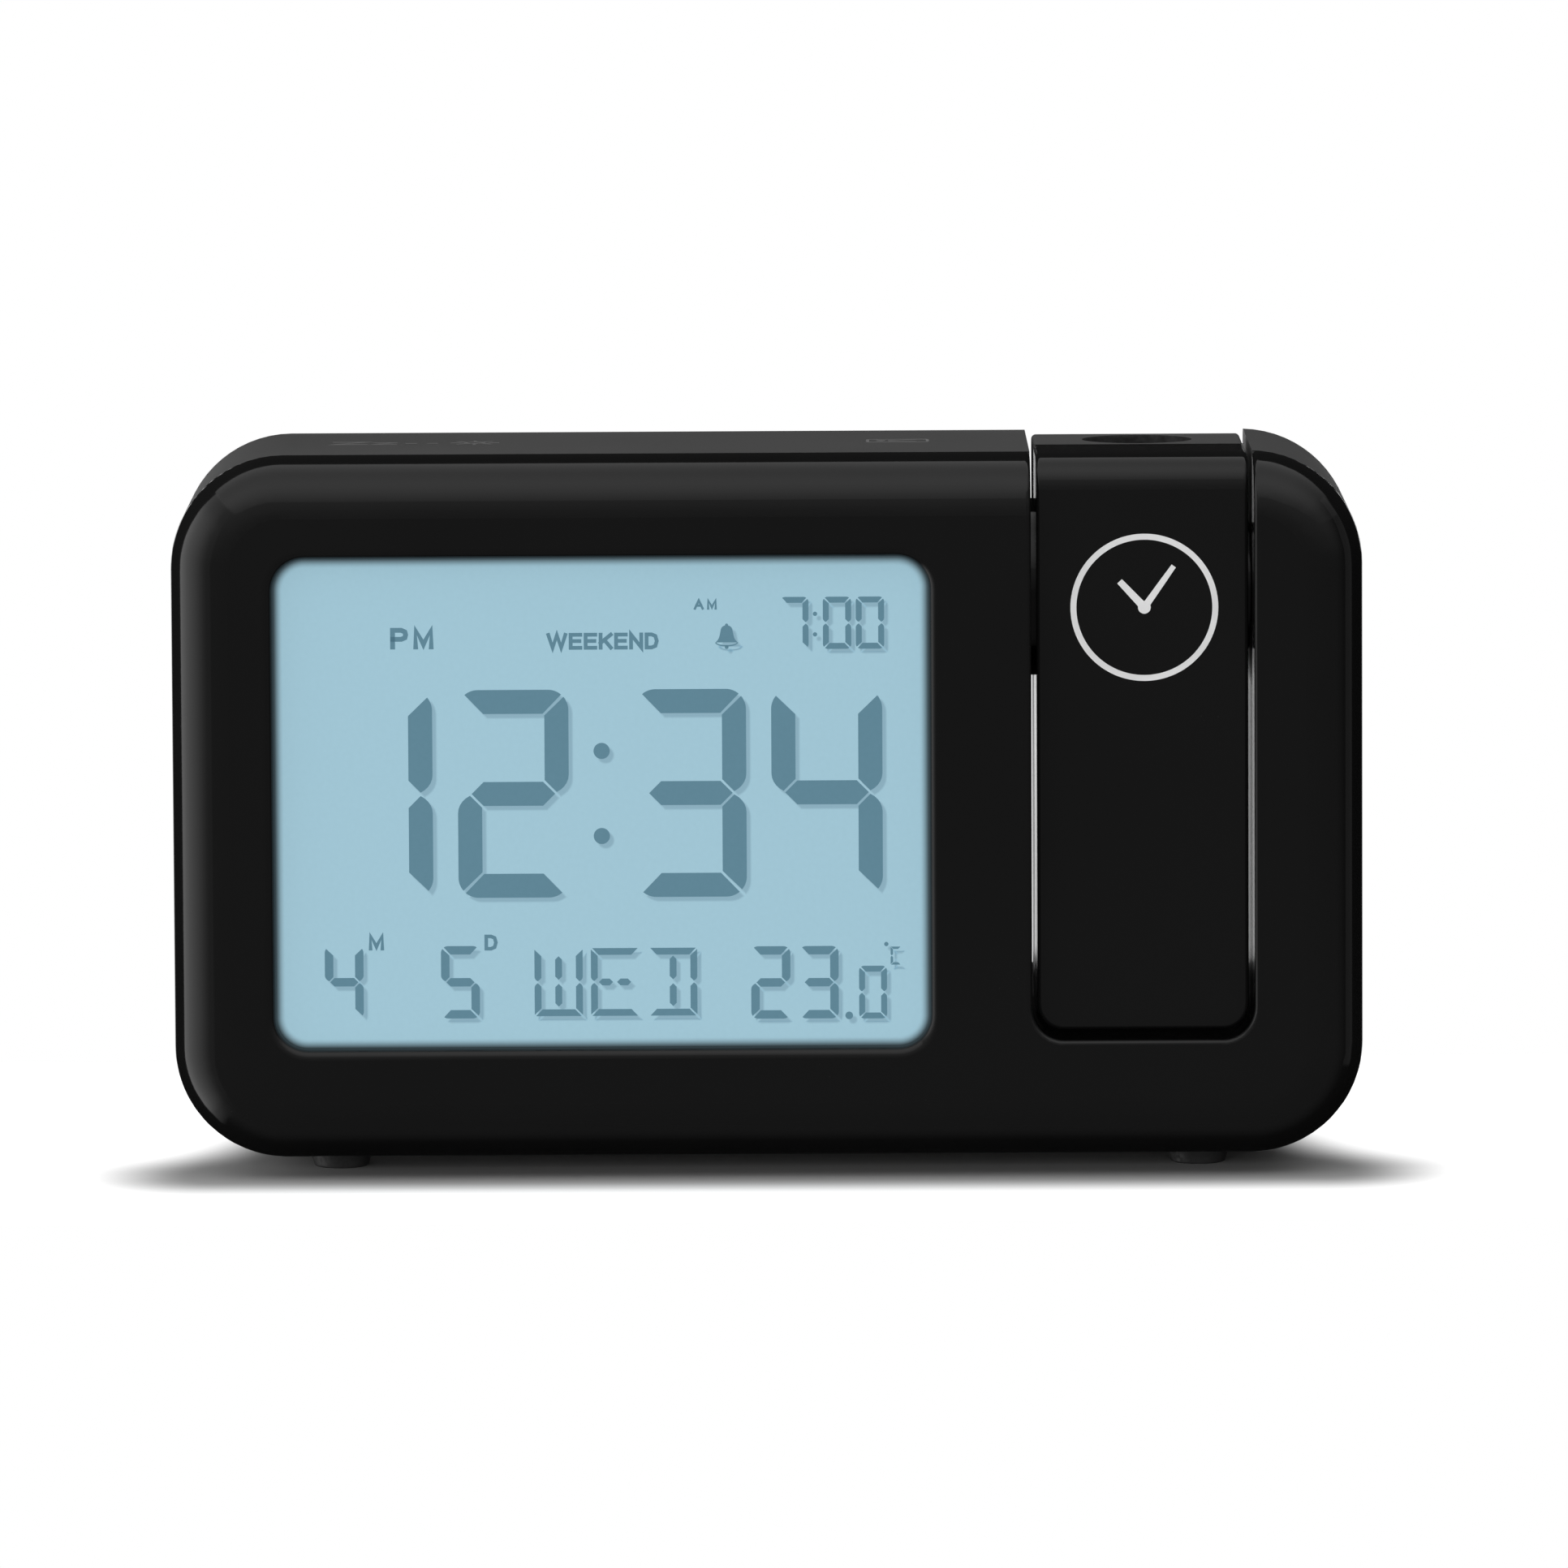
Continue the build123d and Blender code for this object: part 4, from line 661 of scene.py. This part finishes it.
# The room each sign takes, in shares of the capitals' height.
WIDTHS = {"I": 0.05, "M": 0.92, "W": 1.3, "O": 0.95, "E": 0.74, "F": 0.7, "A": 0.95, "5": 0.7, " ": 0.25}
USUAL_WIDTH = 0.78
END_SHARE = 0.999         # a band's square ends stand out by just under half its width
SHARPEST = 0.22           # the least divisor of a mitre, which keeps sharp corners short


def stroke_ribbon(path, width):
    """A flat band along a path: each point moves both ways along its mitred normal by half the width."""
    path = np.array(path, float)
    run = unit(np.diff(path, axis=0))
    closed = np.allclose(path[0], path[-1])
    before = np.vstack([run[-1] if closed else run[0], run])
    after = np.vstack([run, run[0] if closed else run[-1]])
    if not closed:
        path[0] -= 0.5 * width * run[0] * END_SHARE
        path[-1] += 0.5 * width * run[-1] * END_SHARE
    normal = turned(before + after) / np.maximum(1.0 + np.sum(before * after, 1, keepdims=True), SHARPEST)
    return path + 0.5 * width * normal, path - 0.5 * width * normal


def ribbons(bands, plane):
    """Thin bands: rings of a left and a right point at both levels, joined along the band."""
    parts = []
    for left, right, step in bands:
        low, high = -PRINT_SUNK, PRINT_PROUD + step
        parts.append(stacked(np.stack([lay(left, plane, low), lay(right, plane, low),
                                       lay(right, plane, high), lay(left, plane, high)], 1)))
    return join(*parts)


def letters(words, plane, weight):
    """Plain capitals drawn with one width of stroke and spread evenly over each word's box.

    A word comes with its left and top edges, its width and its capitals' height. The weight is the
    stroke's share of that height.
    """
    bands = []
    for word, left, top, width, tall in words:
        stroke = weight * tall
        shares = [WIDTHS.get(sign, USUAL_WIDTH) * (tall - stroke) for sign in word]
        spare = (width - sum(shares) - stroke * len(word)) / max(len(word) - 1, 1)
        start = left
        for sign, share in zip(word, shares):
            corner = (start + stroke / 2, top - tall + stroke / 2)
            for layer, path in enumerate(filter(None, GLYPHS[sign].split("|"))):
                path = np.array(path.split(), float).reshape(-1, 2) / GLYPH_BOX
                placed = path * (share, tall - stroke) + corner
                bands.append((*stroke_ribbon(placed, stroke), layer * STROKE_STEP))
            start += share + stroke + spare
    return ribbons(bands, plane)


# -------- the display

# Each style: a figure's width and height, its stroke, the gap between bars, and the corners' radius.
BIG = (13.95, 26.26, 3.03, 0.21, 2.57)
DATE = (4.87, 9.18, 1.07, 0.13, 0.9)
WARMTH = (4.95, 9.18, 1.07, 0.13, 0.9)
TENTH = (3.52, 6.68, 0.75, 0.1, 0.64)
ALARM = (3.56, 6.58, 0.75, 0.1, 0.64)
WEEKDAY = (6.07, 8.59, 0.86, 0.12, 0.25)
DEGREE = (1.28, 2.28, 0.3, 0.04, 0.1)

# Each row of figures: its style, its top, and each sign with its left edge.
FIGURE_ROWS = (
    (BIG, 62.0, (("1", -56.05), ("2", -38.93), ("3", -16.62), ("4", 0.49))),
    (ALARM, 73.55, (("7", 1.68), ("0", 7.04), ("0", 11.17))),
    (DATE, 29.73, (("4", -55.84),)),
    (DATE, 29.65, (("5", -41.22),)),
    (WEEKDAY, 29.3, (("W", -29.46), ("E", -22.36), ("D", -15.05))),
    (WARMTH, 29.43, (("2", -2.2), ("3", 3.87))),
    (TENTH, 26.89, (("0", 11.38),)),
    (DEGREE, 29.3, (("C", 15.37),)),
)
# The weekday's inner bars, as lozenges beside each sign's middle: left, top, right and bottom.
UPRIGHT_BARS = ((-0.43, 28.3, 0.43, 25.3), (-0.43, 24.8, 0.43, 21.9))
LEVEL_BARS = ((-2.035, 25.43, -0.25, 24.57), (0.25, 25.43, 2.035, 24.57))
INNER_BARS = {"W": UPRIGHT_BARS, "E": LEVEL_BARS, "D": UPRIGHT_BARS}
DOTS = (        # middle and radius: the colons, the point, the degree's ring and the bell's clapper
    (-20.83, 54.24, 1.02), (-20.87, 43.49, 1.02), (6.06, 71.4, 0.27), (6.05, 68.81, 0.27),
    (10.12, 20.61, 0.48), (14.83, 29.63, 0.27), (-5.05, 67.26, 0.24),
)
BELL = (-5.05, 67.86, 2.72, 2.37)           # middle, rim's height, width and height
BELL_RIM = (-5.05, 67.86, 2.88, 0.52, 0.17)     # middle, height, width, drop and stroke


def display_outlines():
    """Every lit bar and dot of the display: the clock, alarm, date, weekday and temperature."""
    outlines = [disc(*dot) for dot in DOTS]
    for style, top, signs in FIGURE_ROWS:
        for sign, left in signs:
            outlines += figure(sign, left, top, style)
            width = style[0]
            centre = left + width / 2
            outlines += [lozenge(centre + start, high, centre + end, low)
                         for start, high, end, low in INNER_BARS.get(sign, ())]
    return [*outlines, bell(*BELL), bell_rim(*BELL_RIM)]


DISPLAY_WORDS = (
    ("PM", -47.29, 69.9, 5.45, 2.72),
    ("WEEKEND", -27.67, 69.15, 14.09, 2.12),
    ("AM", -9.15, 73.31, 2.89, 1.31),
    ("M", -50.29, 31.21, 1.97, 2.06),
    ("D", -35.73, 31.08, 1.7, 2.01),
)
DISPLAY_WEIGHT = 0.225
SHADOW_SHIFT = (0.5, -0.55)     # a figure's shade falls this far right and down on the rear glass
SHADOW_SPREAD = 0.13
SHADOW_PROUD = 0.008

outlines = display_outlines()
add_piece("display_figures", *plates(outlines, FRONT), INK, "clock_body", "display_glass")
add_piece("display_words", *letters(DISPLAY_WORDS, FRONT, DISPLAY_WEIGHT), INK, "clock_body", "display_glass")
*shade_mesh, shade_strength = soft_plates(
    [outline + SHADOW_SHIFT for outline in outlines], FRONT, SHADOW_SPREAD, SHADOW_PROUD)
shadow_piece = add_piece("display_shadows", *shade_mesh, SHADE, "clock_body", "display_glass")
strength = shadow_piece.data.attributes.new("shade", "FLOAT", "POINT")
strength.data.foreach_set("value", shade_strength)

# -------- seams: the joints, drawn near black as painted shade of the step in each joint
SEAM_PROUD = 0.012
SEAM_SUNK = 0.05
BODY_SEAM_HALF = 0.16     # half the line's width
ARM_SEAM_HALF = 0.14
SEAM_END = 0.05           # how far off the slot's sides the body's line stops
CORNER_STEPS = 16
SLOT_LEFT = SLOT_X - SLOT_HALF
SLOT_RIGHT = SLOT_X + SLOT_HALF


def rounded_corner_path(start, corners, end, radius):
    """A path of straight runs joined by quarter circles, each tangent to both its runs."""
    stops = [np.array(stop, float) for stop in (start, *corners, end)]
    path = [stops[0][None]]
    for before, here, after in zip(stops[:-2], stops[1:-1], stops[2:]):
        towards, onward = unit(before - here), unit(after - here)
        centre = here + radius * (towards + onward)
        angle = np.linspace(0.0, math.pi / 2, CORNER_STEPS)[:, None]
        path.append(centre - radius * onward * np.cos(angle) - radius * towards * np.sin(angle))
    path.append(stops[-1][None])
    return np.vstack(path)


def seam_strip(path, level, half_width):
    """A square band swept along an outline in x and z.

    Each ring of four points steps out and in along the path's normal, and forward and back in y by
    half the band's width. Both ends are capped.
    """
    out = -turned(unit(np.gradient(path, axis=0)))
    rows = []
    for step, shift in ((SEAM_PROUD, -half_width), (SEAM_PROUD, half_width),
                        (-SEAM_SUNK, half_width), (-SEAM_SUNK, -half_width)):
        edge = path + step * out
        rows.append(np.stack([edge[:, 0], np.full(len(path), level + shift), edge[:, 1]], 1))
    return stacked(np.stack(rows, 1))


corner_path = rounded_corner_path(
    (SLOT_LEFT - SEAM_END, TOP_Z),
    [(-BODY_HALF, TOP_Z), (-BODY_HALF, BASE_Z), (BODY_HALF, BASE_Z), (BODY_HALF, TOP_Z)],
    (BODY_HALF - OUTLINE_RADIUS, TOP_Z), OUTLINE_RADIUS)
# The slot cuts the last corner just before its top, so the path ends on the arc there.
last_run = SLOT_RIGHT + SEAM_END - (BODY_HALF - OUTLINE_RADIUS)
last_rise = math.sqrt(OUTLINE_RADIUS**2 - last_run**2)
body_path = np.vstack([corner_path[:-2], (SLOT_RIGHT + SEAM_END, TOP_Z - OUTLINE_RADIUS + last_rise)])
# Painted shade: a near-black band along the shells' joint stands in for the shadow in the step between them.
add_piece("body_seam", *seam_strip(body_path, PARTING_Y, BODY_SEAM_HALF), PAINTED_SHADE, "clock_body", "rear_satin")
arm_path = np.array([(SLOT_X + ARM_HALF, TOP_Z), (SLOT_X - ARM_HALF, TOP_Z)])
# The arm's joint, in the same near black of painted shade.
add_piece("arm_seam", *seam_strip(arm_path, ARM_PARTING_Y, ARM_SEAM_HALF), PAINTED_SHADE, "projector_arm", "arm_satin")

# -------- printed marks


def ring_pair(centre_u, centre_v, outer, inner, steps=48):
    """Two circles round one centre, for a flat ring."""
    return disc(centre_u, centre_v, outer, steps), disc(centre_u, centre_v, inner, steps)


def bar(first, second, width):
    """A straight stroke between two points, with square ends half a width beyond them."""
    first, second = np.array(first, float), np.array(second, float)
    run = unit(second - first) * width / 2
    side = turned(run)
    return anticlockwise([first - run - side, second + run - side, second + run + side, first - run + side])


def tapered_hand(centre, reach, wide, narrow):
    """A clock hand: a four-cornered blade from the centre, wide at its tail and narrow at its tip."""
    centre, reach = np.array(centre), np.array(reach)
    side, tip = turned(unit(reach)) / 2, centre + reach
    return anticlockwise([centre - side * wide, tip - side * narrow, tip + side * narrow,
                          centre + side * wide])


def rounded_box(left, low, right, high, radius):
    """A rectangle with round corners: four quarter circles."""
    west, east, south, north = left + radius, right - radius, low + radius, high - radius
    return np.vstack([arc(east, south, radius, -90, 0), arc(east, north, radius, 0, 90),
                      arc(west, north, radius, 90, 180), arc(west, south, radius, 180, 270)])


def zed(left, low, width, tall, stroke):
    """A capital Z as one band along its three strokes."""
    half = stroke / 2
    path = [(left + half, low + tall - half), (left + width - half, low + tall - half),
            (left + half, low + half), (left + width - half, low + half)]
    return (*stroke_ribbon(path, stroke), 0.0)


# The arm's emblem: a thin ring with two clock hands.
EMBLEM = (47.4, 72.0)
EMBLEM_RADIUS = 9.28
EMBLEM_STROKE = 0.75
EMBLEM_STEPS = 120
HANDS = (       # from the middle to the tip, the width at the tail and at the tip, and the height
    ((-3.1, 3.3), 1.0, 0.8, PRINT_PROUD),
    ((3.7, 5.2), 0.9, 0.65, 0.03),
)
HANDS_HUB_RADIUS = 0.8
HANDS_HUB_PROUD = 0.04
emblem_ring = ring_pair(*EMBLEM, EMBLEM_RADIUS, EMBLEM_RADIUS - EMBLEM_STROKE, EMBLEM_STEPS)
emblem_parts = [frames([emblem_ring], FRONT)]
emblem_parts += [plates([tapered_hand(EMBLEM, reach, wide, narrow)], FRONT, proud)
                 for reach, wide, narrow, proud in HANDS]
emblem_parts.append(plates([disc(*EMBLEM, HANDS_HUB_RADIUS)], FRONT, HANDS_HUB_PROUD))
add_piece("arm_emblem", *join(*emblem_parts), WHITE_PRINT, "projector_arm", "arm_gloss")

# A near-black collar of painted shade lines the cone of the lens port and the start of its round rim,
# darkening the recess.
PORT_RINGS = ((6.1, 88.9), (6.76, 90.85), (6.84, 91.0), (6.95, 91.12))     # radius and height
COLLAR_SKIN = 0.03
COLLAR_STEPS = 96


def port_shade_collar():
    """A turned skin: circles of each ring's radius at its height, and the same again, wider and lower."""
    turn = np.linspace(0.0, 2 * math.pi, COLLAR_STEPS + 1)[:-1]
    outside = [(radius + 2 * COLLAR_SKIN, level - COLLAR_SKIN) for radius, level in PORT_RINGS[::-1]]
    profile = [*PORT_RINGS, *outside]
    rings = [np.stack([SLOT_X + radius * np.cos(turn), LENS_Y + radius * np.sin(turn),
                       np.full(COLLAR_STEPS, level)], 1) for radius, level in profile]
    return stacked(rings, closed=True)


add_piece("port_shade_collar", *port_shade_collar(), PAINTED_SHADE, "projector_arm", "optics_black")

# Touch marks on top: "zz--", a small lamp, and a screen with a beam.
TOUCH_Y = 4.0
TOUCH_STROKE = 0.4
ZEDS = ((-55.1, 4.6, 4.2, 0.5), (-49.95, 3.1, 2.9, 0.42))       # left, width, height and stroke
ZED_DROP = 2.1
DASHES = ((-45.6, -44.5), (-42.8, -41.9))
LAMP_X = -37.0
LAMP_RING = (1.35, 0.95)        # outer and inner radius
LAMP_RAYS = (1.9, 2.9)          # the radii where its eight rays start and end
SCREEN_LEFT, SCREEN_RIGHT, SCREEN_HALF, SCREEN_RADIUS = 12.7, 20.7, 2.4, 0.9
SPOT = (14.6, TOUCH_Y, 0.6)     # the source of the beam
BEAM_STROKE = 0.35
BEAM = ((15.7, 0.5), (18.9, 1.3))       # its start and end: x, and how far off the middle
touch_bands = [zed(left, TOUCH_Y - ZED_DROP, width, tall, stroke) for left, width, tall, stroke in ZEDS]
dash_y = TOUCH_Y - TOUCH_STROKE
touch_plates = [bar((start, dash_y), (end, dash_y), TOUCH_STROKE) for start, end in DASHES]
for turn in np.radians(np.arange(0, 360, 45)):
    way = np.array([math.cos(turn), math.sin(turn)])
    touch_plates.append(bar(*((LAMP_X, TOUCH_Y) + radius * way for radius in LAMP_RAYS), TOUCH_STROKE))
touch_plates.append(disc(*SPOT))
touch_plates += [bar(*((x, TOUCH_Y + side * off) for x, off in BEAM), BEAM_STROKE) for side in (1, -1)]
screen_pair = [rounded_box(SCREEN_LEFT + inset, TOUCH_Y - SCREEN_HALF + inset, SCREEN_RIGHT - inset,
                           TOUCH_Y + SCREEN_HALF - inset, SCREEN_RADIUS - inset)
               for inset in (0.0, TOUCH_STROKE)]
touch_rings = [ring_pair(LAMP_X, TOUCH_Y, *LAMP_RING), screen_pair]
touch_print = join(plates(touch_plates, TOP), frames(touch_rings, TOP), ribbons(touch_bands, TOP))
add_piece("touch_marks", *touch_print, GREY_PRINT, "clock_body", "rear_satin")

# Rear marks above the buttons and by the switch, and the words by the inlet. On this plane u is -x.
MARK_Z = 71.0
MODE_U, TIME_U, ALARM_U, UP_U, DOWN_U = 52.0, 39.0, 26.0, 13.0, 0.0
SWITCH_U = -18.5
SOCKET_U = -17.0
SOCKET_TOP = 27.3               # of the words over the socket
CLOCK_RING = (1.7, 1.35)
CLOCK_STROKE = 0.3
CLOCK_HANDS = ((0.0, 1.0), (0.75, 0.0))
REAR_BELL = (2.9, 2.6)          # width and height
REAR_BELL_DROP = 1.1
CLAPPER_DROP = 1.5
CLAPPER_RADIUS = 0.35
SIGN_HALF = 1.4                 # of the strokes of plus and minus
SIGN_STROKE = 0.5
REAR_TALL = 1.7                 # the words' height
REAR_WEIGHT = 0.15
WORD_TOP = MARK_Z + REAR_TALL / 2
REAR_WORDS = (
    ("MODE", MODE_U - 3.2, WORD_TOP, 6.4, REAR_TALL),
    ("OFF", SWITCH_U - 5.6, WORD_TOP, 4.2, REAR_TALL),
    ("ON", SWITCH_U + 1.8, WORD_TOP, 3.0, REAR_TALL),
    ("DC IN 5V", SOCKET_U - 4.4, SOCKET_TOP, 8.8, REAR_TALL),
)
rear_rings = [ring_pair(TIME_U, MARK_Z, *CLOCK_RING)]
rear_plates = [bar((TIME_U, MARK_Z), (TIME_U + u, MARK_Z + v), CLOCK_STROKE) for u, v in CLOCK_HANDS]
rear_plates += [bell(ALARM_U, MARK_Z - REAR_BELL_DROP, *REAR_BELL),
                disc(ALARM_U, MARK_Z - CLAPPER_DROP, CLAPPER_RADIUS)]
rear_plates += [bar((sign_u - SIGN_HALF, MARK_Z), (sign_u + SIGN_HALF, MARK_Z), SIGN_STROKE)
                for sign_u in (UP_U, DOWN_U)]
rear_plates += [bar((UP_U, MARK_Z + side * SIGN_STROKE / 2), (UP_U, MARK_Z + side * SIGN_HALF), SIGN_STROKE)
                for side in (1, -1)]
rear_print = join(plates(rear_plates, REAR), frames(rear_rings, REAR), letters(REAR_WORDS, REAR, REAR_WEIGHT))
add_piece("rear_marks", *rear_print, WHITE_PRINT, "clock_body", "rear_satin")

# -------- studio, in metres
FLOOR_TONES = (168, 174)
FLOOR_SHEEN = (0.68, 0.78)
FLOOR_CORE = (0.07, 0.018)      # half width and half depth of the patch that keeps its whole shadow
FLOOR_REACH = (0.003, 0.02)     # the painted light comes in between these distances from that patch
FLOOR_PAINTED_LIGHT = (0.0, 0.92)
FLOOR_BESIDE = (0.055, 0.085)   # past the clock's ends, from here to here,
FLOOR_BEHIND = -0.014           # the distance also grows with y from this y on, so that painted light wipes out the shade behind the ends
FLOOR_NEAR = -0.06
FLOOR_FAR = 0.1
FLOOR_HALF = 0.15
FLOOR_STEPS = 24


def paper_floor(name):
    """A pale tabletop of fine paper. It keeps its shadow near the clock; elsewhere white emission, painted
    light seen by the camera and by mirrors, lifts it to white and wipes out its shadow behind and beside the
    clock's ends.
    """
    material, tree, shader = new_material(name)
    point = object_point(tree)
    x, y, _ = object_parts(tree)
    beyond = [sums(tree, "MAXIMUM", sums(tree, "SUBTRACT", sums(tree, "ABSOLUTE", part), half), 0.0)
              for part, half in zip((x, y), FLOOR_CORE)]
    beside = span(tree, sums(tree, "ABSOLUTE", x), FLOOR_BESIDE)
    rearward = sums(tree, "MAXIMUM", sums(tree, "SUBTRACT", y, FLOOR_BEHIND), 0.0)
    beyond.append(times(tree, beside, rearward))
    squares = [times(tree, value, value) for value in beyond]
    away = sums(tree, "SQRT", sums(tree, "ADD", sums(tree, "ADD", *squares[:2]), squares[2]))
    path = tree.nodes.new("ShaderNodeLightPath").outputs
    seen = largest(tree, path["Is Camera Ray"], path["Is Glossy Ray"], path["Is Transmission Ray"])
    # Painted light: white emission, masked by the distance from the shadow's patch, lifts the far floor to
    # white as backdrop and, nearer, erases the shadow outside that patch.
    settings(shader, Specular_IOR_Level=0.1, Emission_Color=WHITE,
             Base_Color=blend_colours(tree, noise(tree, point, 14.0, detail=4.0), *map(grey, FLOOR_TONES)),
             Roughness=span(tree, noise(tree, point, 300.0), MOST, FLOOR_SHEEN),
             Emission_Strength=times(tree, seen, span(tree, away, FLOOR_REACH, FLOOR_PAINTED_LIGHT)))
    return material


floor_u, floor_v = np.meshgrid(np.linspace(-FLOOR_HALF, FLOOR_HALF, FLOOR_STEPS + 1),
                               np.linspace(FLOOR_NEAR, FLOOR_FAR, FLOOR_STEPS + 1))
floor_points = np.stack([floor_u, floor_v, np.zeros_like(floor_u)], -1).reshape(-1, 3)
first = (np.arange(FLOOR_STEPS)[:, None] * (FLOOR_STEPS + 1) + np.arange(FLOOR_STEPS)).ravel()
floor_faces = np.stack([first, first + 1, first + FLOOR_STEPS + 2, first + FLOOR_STEPS + 1], 1).tolist()
floor_mesh = bpy.data.meshes.new("floor")
floor_mesh.from_pydata(floor_points.tolist(), [], floor_faces)
floor_mesh.materials.append(paper_floor("pale_floor"))
floor = new_object("floor", floor_mesh)
floor.visible_glossy = False


def facing(direction, up):
    """A rotation whose -Z runs along the direction and whose Y leans to the given up."""
    back = -unit(np.array(direction))
    side = unit(np.cross(up, back))
    return Matrix(np.stack([side, np.cross(back, side), back], 1).tolist()).to_4x4()


def softbox(name, place, direction, size, power, up=(0.0, 0.0, 1.0), fades=(), mirrored=True):
    """A wide area lamp the camera doesn't see.

    Each fade dims it along one axis, 0 for its width and 1 for its height: between two places along
    that axis, as shares of its length, the strength goes from one share to another.
    """
    data = bpy.data.lights.new(name, "AREA")
    data.shape = "RECTANGLE"
    data.size, data.size_y = size
    data.energy = power
    if fades:
        data.use_nodes = True
        tree = data.node_tree
        emission = next(node for node in tree.nodes if node.type == "EMISSION")
        parts = split(tree, tree.nodes.new("ShaderNodeNewGeometry").outputs["Parametric"])
        level = 1.0
        for axis, along, shares in fades:
            level = times(tree, level, span(tree, parts[axis], along, shares))
        settings(emission, Strength=level)
    lamp = new_object(name, data)
    lamp.matrix_world = Matrix.Translation(place) @ facing(direction, up)
    lamp.visible_camera = False
    lamp.visible_glossy = mirrored


# A long canopy overhead, even from its back edge to above the clock, dimmer towards the reader and
# towards its right end.
softbox("canopy", place=(0.45, -0.55, 0.95), direction=(0.0, 0.0, -1.0), up=(0.0, 1.0, 0.0),
        size=(2.8, 2.06), power=22.5,
        fades=((1, (0.0, 0.6), (0.3, 1.0)), (0, (0.45, 0.95), (1.0, 0.15))))
# A tall wall of light on the left, from below the table's height up, dimmer towards the reader.
softbox("left_wall", place=(-0.95, -0.44, -0.12), direction=(1.0, 0.0, 0.0), size=(1.54, 2.16), power=25.7,
        fades=((0, (0.1, 0.85), (1.0, 0.08)), (1, (0.708, 1.0), (1.0, 0.45)), (1, (0.0, 0.3), (0.0, 1.0))))
# An even fill low in front, which gives light but isn't mirrored.
softbox("front_fill", place=(-0.25, -1.6, 0.3), direction=(0.25, 1.6, -0.2), size=(1.4, 0.5), power=11.0,
        mirrored=False)
# A thin strip on the right, behind, which draws the clock's right edge.
softbox("right_strip", place=(0.95, 0.1, 0.25), direction=(-1.0, 0.0, 0.0), size=(0.3, 1.1), power=0.25)

# What mirrors see: a white backdrop straight behind, up to just over the horizon, and a dim room
# that grows a little lighter overhead in front. Each span is of the ray's direction, -1 to 1.
BACKDROP_TOP = (0.0, 0.03)
BACKDROP_FOOT = (-0.2, -0.13)
BACKDROP_SIDES = (0.93, 0.98)
ROOM_RISE = (-0.1, 0.5)
ROOM_LEVELS = (0.22, 0.55)      # at the horizon in front, and higher up
ROOM_TURN = (-0.5, 0.1)
ROOM_BEHIND = 0.03              # the share of those levels that is left behind the clock
SKY_FILL = 0.08                 # even light from the room

scene = bpy.context.scene
world = bpy.data.worlds.new("studio")
scene.world = world
world.use_nodes = True
sky = world.node_tree
sky.nodes.clear()
_, sky_y, sky_z = split(sky, sky.nodes.new("ShaderNodeTexCoord").outputs["Generated"])
low_down = sums(sky, "MINIMUM", span(sky, sky_z, BACKDROP_TOP, FALLING), span(sky, sky_z, BACKDROP_FOOT))
backdrop = times(sky, low_down, span(sky, sky_y, BACKDROP_SIDES))
room = times(sky, span(sky, sky_z, ROOM_RISE, ROOM_LEVELS), span(sky, sky_y, ROOM_TURN, (1.0, ROOM_BEHIND)))
sky_path = sky.nodes.new("ShaderNodeLightPath").outputs
mirrored = sums(sky, "MAXIMUM", sky_path["Is Glossy Ray"], sky_path["Is Transmission Ray"])
seen_level = times(sky, mirrored, sums(sky, "MAXIMUM", backdrop, room))
fill_level = times(sky, sky_path["Is Diffuse Ray"], SKY_FILL)
sky_level = sums(sky, "ADD", sums(sky, "ADD", sky_path["Is Camera Ray"], seen_level), fill_level)
background = sky.nodes.new("ShaderNodeBackground")
settings(background, Color=WHITE, Strength=sky_level)
settings(sky.nodes.new("ShaderNodeOutputWorld"), Surface=background.outputs[0])

scene.view_settings.view_transform = "Standard"

CAMERA_PLACE = (0.002061, -1.756345, 0.233729)
CAMERA_PITCH = 6.0421           # degrees below level
CAMERA_ROLL = -0.0051688        # radians
CAMERA_LENS = 318.99            # millimetres, on a sensor of this width
SENSOR_WIDTH = 36.0
CLIP_START = 0.05
CLIP_END = 40.0
camera_data = bpy.data.cameras.new("camera")
camera_data.sensor_width = SENSOR_WIDTH
camera_data.lens = CAMERA_LENS
camera_data.clip_start = CLIP_START
camera_data.clip_end = CLIP_END
camera = new_object("camera", camera_data)
tilt = Matrix.Rotation(math.radians(90.0 - CAMERA_PITCH), 4, "X")
camera.matrix_world = Matrix.Translation(CAMERA_PLACE) @ tilt @ Matrix.Rotation(CAMERA_ROLL, 4, "Z")
scene.camera = camera
